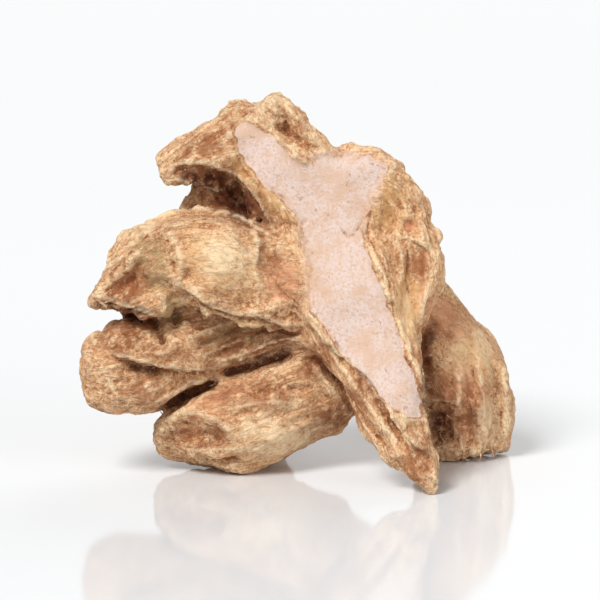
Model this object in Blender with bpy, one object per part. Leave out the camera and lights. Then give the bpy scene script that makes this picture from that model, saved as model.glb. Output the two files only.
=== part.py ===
"""Dried ginger root: one branched rhizome that stands on the ends of its fingers.

Metres, +Z up. Seen from the scraped side, +X is to the right and +Y to the back.
Each finger is lofted along its own line. The fingers are fused into one skin,
which is pulled into ridges and hollows, thinned out, and trimmed flat where the
root rests. The origin is under the middle of the root, on the surface it stands on.
"""

import math
from dataclasses import dataclass

import bmesh
import bpy
import numpy as np
from mathutils import Vector

FRONT = Vector((0.0, -1.0, 0.0))
UP = Vector((0.0, 0.0, 1.0))

# Driving dimensions: each finger's length from root to tip, and its thickest section.
SPINE_LENGTH, SPINE_WIDTH, SPINE_DEPTH = 0.094, 0.023, 0.020
ARM_LENGTH, ARM_WIDTH, ARM_DEPTH = 0.026, 0.019, 0.013
SHOULDER_LENGTH, SHOULDER_WIDTH, SHOULDER_DEPTH = 0.040, 0.015, 0.013
PALM_LENGTH, PALM_WIDTH, PALM_DEPTH = 0.055, 0.022, 0.018
THUMB_LENGTH, THUMB_WIDTH, THUMB_DEPTH = 0.059, 0.020, 0.017
LEFT_FOOT_LENGTH, LEFT_FOOT_WIDTH, LEFT_FOOT_DEPTH = 0.050, 0.024, 0.020
RIGHT_FOOT_LENGTH, RIGHT_FOOT_WIDTH, RIGHT_FOOT_DEPTH = 0.048, 0.022, 0.018
BACK_FOOT_LENGTH, BACK_FOOT_WIDTH, BACK_FOOT_DEPTH = 0.054, 0.018, 0.016
KNOB_LENGTH, KNOB_WIDTH, KNOB_DEPTH = 0.025, 0.016, 0.015

SCRAPED_TO = 0.72  # how far forward the scraped face lies, as a share of the half depth
REST_TRIM = 0.0012  # how much is flattened at the lowest points

KEEL_SPREAD = 24.0  # degrees
SECTION_POINTS = 36
SECTIONS_PER_STATION = 5
SKIN_VOXEL = 0.0011
SKIN_SMOOTHING = 8
SWELL_HEIGHT = 0.0030
SWELL_SPACING = 0.011
SKIN_TRIANGLES = 8000

SKIN_COLOUR = (0.62, 0.42, 0.24, 1.0)
SKIN_ROUGHNESS = 0.9


@dataclass
class Finger:
    """One finger of the hand. Stations run from its root to its tip, each as shares:
    right, back and up of the length, then of the width and of the depth. A keel is a
    ridge along the finger, a share of the radius high, or a hollow if negative."""

    name: str
    length: float
    width: float
    depth: float
    stations: tuple
    grows_from: tuple = None  # the finger it leaves, and how far along that one
    broad: Vector = FRONT
    scraped_to: float = 1.0
    keel: float = 0.0
    keel_at: float = 90.0  # degrees round the section, 90 on its broad side


FINGERS = (
    Finger(
        "spine",
        SPINE_LENGTH,
        SPINE_WIDTH,
        SPINE_DEPTH,
        (
            (0.00, 0.00, 0.00, 0.50, 0.55),
            (0.06, -0.02, -0.11, 0.80, 0.80),
            (0.15, -0.04, -0.25, 0.95, 0.90),
            (0.22, -0.09, -0.40, 1.00, 1.00),
            (0.27, -0.14, -0.54, 0.92, 0.90),
            (0.32, -0.20, -0.67, 0.72, 0.75),
            (0.38, -0.26, -0.79, 0.44, 0.50),
            (0.42, -0.29, -0.89, 0.24, 0.28),
        ),
        scraped_to=SCRAPED_TO,
        keel=0.10,
        keel_at=46.0,
    ),
    Finger(
        "arm",
        ARM_LENGTH,
        ARM_WIDTH,
        ARM_DEPTH,
        (
            (0.00, 0.06, 0.00, 0.95, 0.95),
            (-0.45, -0.05, -0.10, 0.80, 0.90),
            (-0.74, -0.11, -0.22, 0.50, 0.62),
            (-0.98, -0.13, -0.32, 0.24, 0.34),
        ),
        grows_from=("spine", 0.11),
    ),
    Finger(
        "shoulder",
        SHOULDER_LENGTH,
        SHOULDER_WIDTH,
        SHOULDER_DEPTH,
        (
            (0.00, 0.10, 0.00, 0.80, 0.80),
            (0.24, 0.02, 0.18, 0.95, 1.00),
            (0.40, 0.00, 0.09, 0.90, 0.95),
            (0.49, -0.01, -0.11, 0.90, 0.95),
            (0.50, -0.08, -0.32, 0.90, 0.95),
            (0.46, -0.16, -0.55, 0.76, 0.90),
            (0.44, -0.25, -0.77, 0.60, 0.75),
            (0.45, -0.33, -0.92, 0.42, 0.60),
        ),
        grows_from=("spine", 0.28),
        keel=-0.25,
    ),
    Finger(
        "palm",
        PALM_LENGTH,
        PALM_WIDTH,
        PALM_DEPTH,
        (
            (0.00, 0.08, 0.00, 1.00, 1.00),
            (-0.39, 0.04, 0.03, 0.95, 1.00),
            (-0.62, 0.00, 0.09, 1.00, 1.00),
            (-0.83, -0.01, 0.02, 0.86, 0.76),
            (-0.96, 0.00, -0.06, 0.50, 0.46),
            (-1.02, 0.01, -0.08, 0.22, 0.24),
        ),
        grows_from=("spine", 0.43),
        keel=0.20,
        keel_at=148.0,
    ),
    Finger(
        "thumb",
        THUMB_LENGTH,
        THUMB_WIDTH,
        THUMB_DEPTH,
        (
            (0.00, 0.12, 0.00, 0.80, 0.90),
            (-0.47, 0.16, -0.13, 0.86, 0.95),
            (-0.68, 0.11, -0.16, 0.94, 1.00),
            (-0.86, 0.04, -0.22, 1.00, 1.00),
            (-0.97, 0.02, -0.24, 0.80, 0.76),
            (-1.03, 0.02, -0.25, 0.46, 0.44),
        ),
        grows_from=("spine", 0.50),
    ),
    Finger(
        "left_foot",
        LEFT_FOOT_LENGTH,
        LEFT_FOOT_WIDTH,
        LEFT_FOOT_DEPTH,
        (
            (0.00, 0.16, 0.00, 0.58, 0.70),
            (-0.13, 0.27, -0.24, 0.80, 0.90),
            (-0.31, 0.23, -0.30, 0.94, 1.00),
            (-0.50, 0.18, -0.39, 1.00, 1.00),
            (-0.71, 0.16, -0.43, 0.90, 0.92),
            (-0.87, 0.16, -0.46, 0.60, 0.66),
            (-0.94, 0.16, -0.45, 0.34, 0.38),
        ),
        grows_from=("spine", 0.57),
    ),
    Finger(
        "right_foot",
        RIGHT_FOOT_LENGTH,
        RIGHT_FOOT_WIDTH,
        RIGHT_FOOT_DEPTH,
        (
            (0.00, 0.12, 0.00, 0.70, 0.85),
            (0.19, 0.28, -0.09, 0.90, 1.00),
            (0.34, 0.34, -0.21, 1.00, 1.00),
            (0.48, 0.36, -0.38, 1.00, 1.00),
            (0.51, 0.39, -0.57, 0.98, 0.90),
            (0.52, 0.39, -0.76, 0.92, 0.78),
        ),
        grows_from=("spine", 0.50),
    ),
    Finger(
        "back_foot",
        BACK_FOOT_LENGTH,
        BACK_FOOT_WIDTH,
        BACK_FOOT_DEPTH,
        (
            (0.00, 0.10, 0.00, 0.80, 0.80),
            (-0.32, 0.27, -0.11, 1.00, 1.00),
            (-0.38, 0.42, -0.32, 1.00, 1.00),
            (-0.43, 0.53, -0.56, 0.90, 0.90),
            (-0.44, 0.56, -0.70, 0.65, 0.65),
        ),
        grows_from=("spine", 0.50),
    ),
    Finger(
        "knob",
        KNOB_LENGTH,
        KNOB_WIDTH,
        KNOB_DEPTH,
        (
            (0.00, 0.22, 0.00, 0.90, 0.90),
            (-0.34, 0.46, 0.08, 0.95, 0.95),
            (-0.52, 0.74, 0.20, 0.68, 0.68),
            (-0.58, 0.84, 0.24, 0.34, 0.34),
        ),
        grows_from=("spine", 0.30),
        broad=UP,
    ),
)


def smooth_rows(rows, per_span):
    """Rows of numbers along a Catmull-Rom curve through the given rows."""
    rows = np.asarray(rows, float)
    ends = np.vstack([2 * rows[0] - rows[1], rows, 2 * rows[-1] - rows[-2]])
    made = []
    for before, a, b, after in zip(ends, ends[1:], ends[2:], ends[3:]):
        for t in np.arange(per_span) / per_span:
            made.append(
                0.5
                * (
                    2 * a
                    + (b - before) * t
                    + (2 * before - 5 * a + 4 * b - after) * t**2
                    + (3 * a - before - 3 * b + after) * t**3
                )
            )
    return np.array([*made, rows[-1]])


def centre_lines():
    """Each finger's line: points with the width and depth there, by name."""
    lines = {}
    for finger in FINGERS:
        root = np.zeros(3)
        if finger.grows_from:
            parent, along = finger.grows_from
            root = lines[parent][round(along * (len(lines[parent]) - 1)), :3]
        rows = smooth_rows(finger.stations, SECTIONS_PER_STATION)
        rows[:, :3] = root + rows[:, :3] * finger.length
        rows[:, 3] *= finger.width
        rows[:, 4] *= finger.depth
        lines[finger.name] = rows
    return lines


def section(finger, row, along):
    """One ring of points round a finger's line."""
    tangent = along.normalized()
    front = (finger.broad - tangent * finger.broad.dot(tangent)).normalized()
    side = tangent.cross(front)
    centre, half_width, half_depth = Vector(row[:3]), row[3] / 2, row[4] / 2
    ring = []
    for step in range(SECTION_POINTS):
        angle = 360 * step / SECTION_POINTS
        radius = 1 + finger.keel * math.exp(-(((angle - finger.keel_at) / KEEL_SPREAD) ** 2))
        across = radius * math.cos(math.radians(angle)) * half_width
        forward = min(radius * math.sin(math.radians(angle)), finger.scraped_to) * half_depth
        ring.append(centre + side * across + front * forward)
    return ring


def add_finger(shape, finger, rows):
    """Lofts a closed finger into the bmesh."""
    rings = []
    for index, row in enumerate(rows):
        before, after = rows[max(index - 1, 0)], rows[min(index + 1, len(rows) - 1)]
        ring = section(finger, row, Vector(after[:3] - before[:3]))
        rings.append([shape.verts.new(point) for point in ring])
    for ring, following in zip(rings, rings[1:]):
        for i in range(SECTION_POINTS):
            j = (i + 1) % SECTION_POINTS
            shape.faces.new((ring[i], ring[j], following[j], following[i]))
    shape.faces.new(reversed(rings[0]))
    shape.faces.new(rings[-1])


def evaluated_mesh(obj):
    graph = bpy.context.evaluated_depsgraph_get()
    return bpy.data.meshes.new_from_object(obj.evaluated_get(graph))


def fused_skin(lines):
    """The fingers as one closed skin with soft joints between them."""
    shape = bmesh.new()
    for finger in FINGERS:
        add_finger(shape, finger, lines[finger.name])
    bmesh.ops.recalc_face_normals(shape, faces=shape.faces)
    mesh = bpy.data.meshes.new("fingers")
    shape.to_mesh(mesh)
    shape.free()
    fingers = bpy.data.objects.new("fingers", mesh)
    bpy.context.scene.collection.objects.link(fingers)
    fuse = fingers.modifiers.new("fuse", "REMESH")
    fuse.mode = "VOXEL"
    fuse.voxel_size = SKIN_VOXEL
    lumps = bpy.data.textures.new("lumps", "CLOUDS")
    lumps.noise_scale = SWELL_SPACING
    lumps.noise_depth = 1
    swell = fingers.modifiers.new("swell", "DISPLACE")
    swell.texture = lumps
    swell.strength = SWELL_HEIGHT
    swell.mid_level = 0.5
    soften = fingers.modifiers.new("soften", "SMOOTH")
    soften.factor = 0.5
    soften.iterations = SKIN_SMOOTHING
    skin = evaluated_mesh(fingers)
    bpy.data.objects.remove(fingers)
    return skin


def thinned(mesh):
    """The same skin with no more triangles than its shape needs."""
    thick = bpy.data.objects.new("thick", mesh)
    bpy.context.scene.collection.objects.link(thick)
    thin = thick.modifiers.new("thin", "DECIMATE")
    mesh.calc_loop_triangles()
    thin.ratio = SKIN_TRIANGLES / len(mesh.loop_triangles)
    thin.use_collapse_triangulate = True
    made = evaluated_mesh(thick)
    bpy.data.objects.remove(thick)
    return made


def set_down(mesh):
    """Trims the lowest points flat and puts the origin under the middle of the root."""
    shape = bmesh.new()
    shape.from_mesh(mesh)
    floor = min(v.co.z for v in shape.verts) + REST_TRIM
    bmesh.ops.bisect_plane(
        shape,
        geom=shape.verts[:] + shape.edges[:] + shape.faces[:],
        plane_co=(0.0, 0.0, floor),
        plane_no=(0.0, 0.0, -1.0),
        clear_outer=True,
    )
    open_edges = [edge for edge in shape.edges if edge.is_boundary]
    bmesh.ops.holes_fill(shape, edges=open_edges, sides=0)
    bmesh.ops.triangulate(shape, faces=shape.faces[:])
    points = np.array([v.co for v in shape.verts])
    middle = (points.min(axis=0) + points.max(axis=0)) / 2
    bmesh.ops.translate(shape, verts=shape.verts, vec=(-middle[0], -middle[1], -floor))
    shape.to_mesh(mesh)
    shape.free()


def dried_skin():
    """The material of the root."""
    material = bpy.data.materials.new("dried_skin")
    material.use_nodes = True
    surface = material.node_tree.nodes["Principled BSDF"]
    surface.inputs["Base Color"].default_value = SKIN_COLOUR
    surface.inputs["Roughness"].default_value = SKIN_ROUGHNESS
    surface.inputs["Metallic"].default_value = 0.0
    return material


def main():
    for old in list(bpy.data.objects):
        bpy.data.objects.remove(old)
    lines = centre_lines()
    mesh = thinned(fused_skin(lines))
    set_down(mesh)
    mesh.name = "ginger_root"
    mesh.materials.append(dried_skin())
    mesh.shade_smooth()
    root = bpy.data.objects.new("ginger_root", mesh)
    bpy.context.scene.collection.objects.link(root)


main()
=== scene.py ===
"""Dried ginger root: the looks of one knobbly, sun-dried root with a scraped pale face.

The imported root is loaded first. A copy of it is shrivelled, creased and scraped in mesh code,
then given a dried skin of shader nodes. A few fibres curl out of the broken ends.
"""

import itertools
import math
from dataclasses import dataclass, replace

import bmesh
import bpy
import numpy as np
from mathutils import Euler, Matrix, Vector
from mathutils.bvhtree import BVHTree


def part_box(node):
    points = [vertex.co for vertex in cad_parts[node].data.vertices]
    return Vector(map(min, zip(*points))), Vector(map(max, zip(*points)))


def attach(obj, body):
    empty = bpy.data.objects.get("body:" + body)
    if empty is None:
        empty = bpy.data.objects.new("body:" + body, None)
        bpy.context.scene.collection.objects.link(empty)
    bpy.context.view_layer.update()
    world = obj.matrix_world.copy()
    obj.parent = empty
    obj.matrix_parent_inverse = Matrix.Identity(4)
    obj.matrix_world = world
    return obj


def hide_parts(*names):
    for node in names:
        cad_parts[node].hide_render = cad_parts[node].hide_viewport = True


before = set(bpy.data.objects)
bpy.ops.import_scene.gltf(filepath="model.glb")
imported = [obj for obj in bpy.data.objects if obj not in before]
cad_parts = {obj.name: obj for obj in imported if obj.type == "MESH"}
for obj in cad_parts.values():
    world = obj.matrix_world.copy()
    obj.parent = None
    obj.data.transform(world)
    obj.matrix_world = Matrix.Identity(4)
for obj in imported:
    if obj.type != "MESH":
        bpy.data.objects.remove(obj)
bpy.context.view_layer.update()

bl_info = {
    "name": "Dried Ginger Root",
    "version": (1, 0, 0),
    "blender": (4, 5, 0),
    "location": "View3D > Sidebar > Ginger",
    "description": "Builds a dried ginger root with a wrinkled skin and a scraped face",
    "category": "Add Mesh",
}

MM = 0.001
ROOT_NODE = "ginger_root"
ROOT_BODY = "root"
VIEW_TILT = math.radians(12)
FAR_OFF = 200.0  # millimetres, where looks at the skin start from
GRAZE = 1.2  # millimetres, how much short of its own point a look may stop
MARK_STEP = 0.6  # millimetres between the points of a laid mark
CAVE_IN, STAND_OUT = -1.4, 1.1  # millimetres, the most that the hidden creases move the skin


# ---------------------------------------------------------------- the root's fingers, in millimetres


@dataclass(frozen=True)
class Finger:
    """One finger of the root: the line down its middle and its half width at each point."""

    name: str
    line: tuple
    half: tuple


FINGERS = (
    Finger(
        "spine",
        ((-9, 4, 82), (0, 1, 67), (10, -4, 47), (17, -11, 29), (24, -19, 12), (30, -24, -2)),
        (5.6, 9.3, 10.7, 9.4, 6.1, 2.8),
    ),
    Finger(
        "arm",
        ((-5, 4, 74), (-12, 2, 72), (-18, 0, 71), (-23, -1, 69), (-27, -1, 67), (-30, -1, 65)),
        (7.6, 6.6, 5.8, 4.8, 3.6, 2.2),
    ),
    Finger(
        "shoulder",
        ((5, 4, 58), (18, 0, 65), (24, 0, 56), (25, -4, 44), (23, -9, 31), (23, -13, 22)),
        (5.6, 6.8, 6.4, 6.3, 5.1, 3.5),
    ),
    Finger(
        "palm",
        ((12, -1, 44), (-10, -3, 46), (-23, -5, 49), (-34, -6, 45), (-41, -5, 41), (-45, -4, 40)),
        (10.0, 9.7, 10.0, 8.1, 4.8, 2.3),
    ),
    Finger(
        "thumb",
        ((14, -1, 36), (-13, 2, 29), (-26, -1, 27), (-36, -5, 23), (-43, -7, 22), (-46, -7, 22)),
        (7.8, 8.3, 8.9, 9.2, 7.2, 4.1),
    ),
    Finger(
        "left_foot",
        ((16, -2, 31), (8, 4, 18), (-3, 1, 14), (-15, -1, 10), (-26, -2, 8), (-31, -2, 9)),
        (7.0, 9.6, 10.9, 10.6, 7.5, 3.9),
    ),
    Finger(
        "right_foot",
        ((14, -2, 36), (24, 6, 32), (31, 9, 26), (38, 10, 18), (39, 11, 9), (39, 11, 0)),
        (7.6, 9.4, 10.0, 10.0, 9.4, 8.5),
    ),
    Finger(
        "back_foot",
        ((14, -2, 36), (0, 5, 32), (-5, 12, 24), (-7, 18, 14), (-9, 22, 4), (-9, 23, -2)),
        (6.8, 8.3, 8.6, 8.3, 7.3, 5.5),
    ),
    Finger(
        "knob",
        ((5, 5, 58), (0, 9, 60), (-5, 13, 61), (-7, 17, 63), (-9, 20, 64), (-9, 21, 64)),
        (7.0, 7.4, 7.4, 6.6, 4.4, 2.6),
    ),
)


# ---------------------------------------------------------------- where marks are looked at from


def facing(turn, tilt):
    """The right and up directions of somebody who looks at the root from one side."""
    turn = math.radians(turn)
    right = np.array((math.cos(turn), math.sin(turn), 0.0))
    ahead = np.array((-math.sin(turn), math.cos(turn), 0.0))
    up = np.array((0.0, 0.0, math.cos(tilt))) + ahead * math.sin(tilt)
    look = ahead * math.cos(tilt) - np.array((0.0, 0.0, math.sin(tilt)))
    return right, up, look


SIDES = {
    "front": facing(0, VIEW_TILT),
    "right": facing(90, VIEW_TILT),
    "back": facing(180, VIEW_TILT),
    "left": facing(270, VIEW_TILT),
    "top": (np.array((1.0, 0, 0)), np.array((0, 1.0, 0)), np.array((0, 0, -1.0))),
}


@dataclass(frozen=True)
class Mark:
    """A ridge, groove, ledge or crack through points given across and up, in millimetres."""

    kind: str
    height: float
    reach: float
    points: tuple
    side: str = "front"


@dataclass(frozen=True)
class Spot:
    """A soft round or oval place on the skin, given across and up, in millimetres.

    A pit or a swell moves the skin, a calm spot makes it even, and the kinds in STAINS
    change its colour.
    """

    kind: str
    amount: float
    centre: tuple
    size: tuple
    turn: float = 0.0
    side: str = "front"


FACE_OUTLINE = (
    (-15, 76.5), (-14, 71.5), (-11.7, 67.6), (-8.5, 63.4), (-4.3, 60), (-1, 57), (0.3, 53),
    (1.7, 48), (1.9, 42), (2.6, 36), (5.5, 31), (9, 26.3), (13.7, 20.5), (18.7, 15), (23.8, 12),
    (27, 12), (26.6, 17.5), (23.8, 24.5), (21.5, 30.6), (19.4, 37), (16.8, 43.3), (14.4, 49),
    (13.8, 53), (15, 58), (18.5, 64.5), (19.5, 68), (16, 69.8), (10, 70.3), (4, 69.8), (1, 67),
    (-2.5, 70), (-6.5, 74), (-10.5, 77),
)

BACK_FACE_OUTLINE = (
    (-17, 66), (-9, 68.5), (-1, 63), (1, 54), (-1, 45), (-6, 38), (-12, 41), (-16, 50), (-18, 59),
)

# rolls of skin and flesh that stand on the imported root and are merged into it
ROLLS = (
    Finger("under_the_arm", ((6, 6, 59.5), (-5, 5, 60), (-14, 4, 60), (-20, 3.5, 59.5), (-25, 3, 57)),
           (6, 5.8, 5.8, 5.0, 2.6)),
    Finger("arm_top", ((-11, 2, 79), (-20, 1, 75), (-27, 0, 71), (-30.5, 0, 69)), (4.6, 3.9, 3.1, 1.9)),
    Finger("foot_top", ((21, 5, 41), (28, 8, 37), (35, 10, 30.5)), (4.5, 5.4, 4.6)),
    Finger("flap_lip", ((-31, -7, 53), (-37, -10, 48), (-43, -10, 42.5), (-46.5, -8, 39)),
           (1.2, 2.0, 1.9, 1.0)),
    Finger("behind_the_flap", ((-32, 0, 36), (-36.5, 0, 36), (-40.5, -1, 35.5)), (3.6, 3.3, 1.8)),
    Finger("foot_rim", ((-26, -9, 13.5), (-30.5, -7, 11), (-31.5, -5, 7), (-28, -6, 3.5)),
           (1.2, 1.8, 1.8, 1.2)),
)

# where the front tip ends, in millimetres
TIP_END = (29.2, -25.5)

# a skin with fewer faces than this has gone wrong
FEWEST_FACES = 1000

# the kinds of spot that only colour the skin; "blend" softens the edge of the scraped face
STAINS = ("brown", "dark", "ochre", "grey", "pink", "pale", "warm", "crust", "blend")

# heights in millimetres of what is uneven all over the skin
LUMP_HEIGHT = 1.0
CRUST_HEIGHT = 0.36
CRUMPLE_HEIGHT = 0.10
GRAIN_HEIGHT = 0.06
FACE_SWELL_HEIGHT = 0.05
RIM_HEIGHT = 0.4

BIG_MARKS = (
    # the flank under the scraped face, down to the tip
    Mark("ledge", 1.0, 1.6, ((0, 34), (4, 30.5), (9, 25), (14.5, 20.5), (18.5, 15), (21.5, 10), (24.5, 4))),
    Mark("groove", 1.3, 1.0, ((3, 25.5), (7, 21), (10.5, 16.5), (16, 8.5), (21, 3.5))),
    Mark("ridge", 1.4, 0.8, ((6, 27), (11.5, 19.5), (16.5, 12.5), (23, 4))),
    Mark("groove", 1.0, 0.6, ((7, 28), (12.5, 21), (17.5, 14.5), (22, 8))),
    Mark("ridge", 1.2, 0.8, ((2, 24), (8, 16.5), (14, 8), (20, 1))),
    Mark("ledge", 0.9, 1.3, ((22, 13.5), (23, 8.5), (25.5, 5.5), (29.5, 3.5))),
    # the palm, its lower ledge and its flap
    Mark("ledge", 2.0, 2.0, ((-27, 41), (-22, 37.5), (-19, 35.8), (-14.5, 34.3), (-9.5, 34), (-5.5, 32.3),
                             (-2, 31.8), (1.5, 32.3))),
    Mark("ridge", 1.0, 1.2, ((-29.5, 53.5), (-26.5, 48), (-26.5, 43.5), (-28, 39.5))),
    Mark("ledge", 1.6, 1.6, ((-46.5, 38.5), (-43.5, 37.8), (-40, 36.6), (-36, 35.4), (-32, 34))),
    Mark("groove", 2.4, 1.5, ((-43.5, 36), (-40.5, 34.6), (-37, 33.6), (-32.5, 32.6), (-30, 32.5))),
    Mark("ridge", 1.1, 1.0, ((-32, 40), (-30, 36.5), (-31.5, 33), (-31, 29.5))),
    Mark("groove", 1.3, 1.0, ((-28.8, 38), (-27.6, 34), (-28.8, 30.5))),
    Mark("groove", 1.5, 1.2, ((-34, 47), (-38, 43.5), (-42, 40), (-44, 38.5))),
    Mark("ridge", 0.8, 1.2, ((-11, 56), (-9.5, 50), (-10, 44), (-8, 39))),
    Mark("groove", 0.9, 1.0, ((-5.5, 51), (-6.5, 46), (-5, 41), (-2, 37))),
    Mark("ledge", 0.9, 1.4, ((-33, 55.5), (-27, 57.5), (-20, 57.5), (-13, 55.5), (-8, 52.5))),
    # the valley between the palm, the thumb and the left foot
    Mark("groove", 2.8, 1.6, ((-18.5, 20.5), (-14.5, 21.8), (-10, 23), (-5.5, 24.5), (-1, 26))),
    Mark("ridge", 1.2, 0.7, ((-20, 21.8), (-15, 23.8), (-10, 25.4), (-5, 26.8), (0, 27.6))),
    Mark("ridge", 1.0, 0.7, ((-22, 25), (-16, 27.6), (-10, 29.6), (-4, 30.2))),
    Mark("ledge", 1.3, 1.1, ((-17, 24), (-12, 25.5), (-6, 28), (-1, 28.6), (2, 27))),
    Mark("groove", 1.3, 0.9, ((-19, 25), (-13, 28), (-7, 31), (-1, 30.4))),
    Mark("groove", 1.0, 0.8, ((-24, 26), (-18, 29.5), (-12, 32.5))),
    Mark("ridge", 0.9, 0.8, ((-25, 28.5), (-19, 31.5), (-14, 33))),
    # the thumb
    Mark("groove", 3.4, 1.2, ((-34.5, 11.5), (-32.5, 12.5), (-29, 14.3), (-25.9, 16), (-22, 17.6),
                              (-18, 19.6))),
    Mark("ridge", 1.7, 0.9, ((-33.5, 14.4), (-29, 16.8), (-25, 18.6), (-20, 20.4))),
    Mark("ridge", 1.2, 0.8, ((-30, 30.5), (-28.5, 28), (-30, 26), (-33, 25.8))),
    Mark("ridge", 1.0, 0.8, ((-43.5, 22.5), (-41, 17), (-36.5, 13.6), (-33, 13.4))),
    Mark("ledge", 1.5, 1.4, ((-42.5, 25.8), (-37, 24.3), (-30.5, 22.7), (-24.5, 22), (-20, 22.2))),
    Mark("groove", 1.2, 0.8, ((-39, 23), (-35, 22.6), (-32, 22))),
    Mark("groove", 1.4, 0.9, ((-32.5, 32.5), (-31.3, 29.8), (-30.2, 27.5))),
    Mark("ridge", 1.1, 1.1, ((-44.5, 29.5), (-42.2, 32.4), (-38, 33), (-34.5, 31.5))),
    Mark("groove", 0.9, 1.0, ((-42.5, 28), (-40, 30), (-36.5, 30), (-34.5, 28))),
    # the left foot
    Mark("ridge", 1.1, 1.1, ((-31.5, 9.5), (-27, 12.3), (-22, 12), (-17.5, 10), (-15, 7.5))),
    Mark("groove", 1.2, 0.9, ((-23, 2.2), (-18, 1.6), (-13, 2.6))),
    Mark("ridge", 0.8, 1.0, ((-27, 4.3), (-21, 3.8), (-15, 4.6), (-9, 4.2))),
    Mark("groove", 0.9, 1.2, ((-14, 16.5), (-8, 17.3), (-3, 18), (2, 17))),
    Mark("ridge", 0.9, 1.1, ((-17, 13), (-10, 14.5), (-4, 14.7), (2, 13))),
    # the arm
    Mark("ridge", 0.9, 0.9, ((-32, 68.5), (-25, 73), (-19, 77.5), (-13, 81.5), (-8, 83.5))),
    Mark("groove", 1.0, 0.8, ((-30, 67), (-24, 70.5), (-18, 74), (-14, 77.5), (-10, 80))),
    Mark("ledge", 1.5, 1.4, ((-30.5, 66.3), (-26, 67.6), (-20, 67.4), (-14, 65), (-9.8, 60), (-6.2, 53.5))),
    Mark("groove", 1.5, 1.2, ((-27, 65.2), (-21, 65.2), (-16.5, 62.8), (-12.8, 58.5), (-9, 54.5))),
    Mark("ridge", 0.9, 0.8, ((-28.5, 64.6), (-22, 63.2), (-17, 62))),
    # the shoulder
    Mark("ridge", 0.9, 1.0, ((28, 60.5), (29.8, 55.5), (31, 51), (29.5, 43.5), (27.5, 37), (26.3, 30.5))),
    Mark("ridge", 0.9, 0.9, ((19.5, 52.5), (22, 49), (22.5, 44), (21, 39.5))),
    Mark("groove", 1.0, 0.9, ((24.5, 50.5), (24, 44), (25.5, 38), (25.5, 31))),
    Mark("ledge", 0.5, 1.2, ((19, 51.5), (23, 51.5), (27.5, 49.5), (30, 47.5))),
    # the right foot
    Mark("ridge", 1.2, 0.9, ((35, 23), (36, 17.5), (35.2, 10.5), (37.3, 4.5))),
    Mark("ridge", 1.0, 0.9, ((39.5, 27), (40.8, 19), (42, 10.5), (42, 3))),
    Mark("groove", 1.1, 1.0, ((38, 27), (38.4, 16), (39.2, 7))),
    Mark("groove", 1.2, 1.0, ((43, 27), (44.6, 17.5), (44.8, 5))),
    Mark("ridge", 1.0, 0.9, ((45, 25), (46.6, 16), (46.8, 6))),
    Mark("groove", 1.2, 0.9, ((28.5, 35.5), (31.5, 31), (35, 28.5))),
    Mark("groove", 1.5, 1.2, ((27.5, 27), (29, 22), (30, 16), (29.5, 11))),
    Mark("ledge", 1.3, 1.1, ((30, 14.5), (33, 14.8), (36, 13.2))),
    Mark("ridge", 1.0, 0.9, ((30.5, 6), (34, 3.8), (37.5, 4), (41, 2.5))),
    # the knob, behind the head
    Mark("groove", 1.3, 0.9, ((-4.5, 81), (-2.5, 75.5), (2, 71.5), (6, 71))),
    Mark("ridge", 1.0, 0.9, ((-7, 84), (-3, 80.5), (1, 76.5), (4, 73))),
    Mark("groove", 1.0, 0.8, ((0, 80.5), (3, 75.8), (7, 72.8))),
)

# where other fingers broke off, at the back
SCARS = (
    Mark("ridge", 0.9, 0.8, ((5.5, 62), (6.5, 65), (9.5, 66), (12, 64), (12, 60.5), (9, 59),
                             (6.3, 60.2), (5.5, 62)), "back"),
    Mark("groove", 0.7, 0.6, ((7.5, 62.5), (9.3, 63.6), (10.4, 62), (8.8, 61), (7.5, 62.5)), "back"),
    Mark("ridge", 0.8, 0.8, ((3, 8), (6, 12), (11, 12.5), (14.5, 9.5)), "back"),
    Mark("ridge", 0.8, 0.8, ((-44, 6), (-40, 9.5), (-35.5, 9), (-32, 6)), "back"),
)

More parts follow.
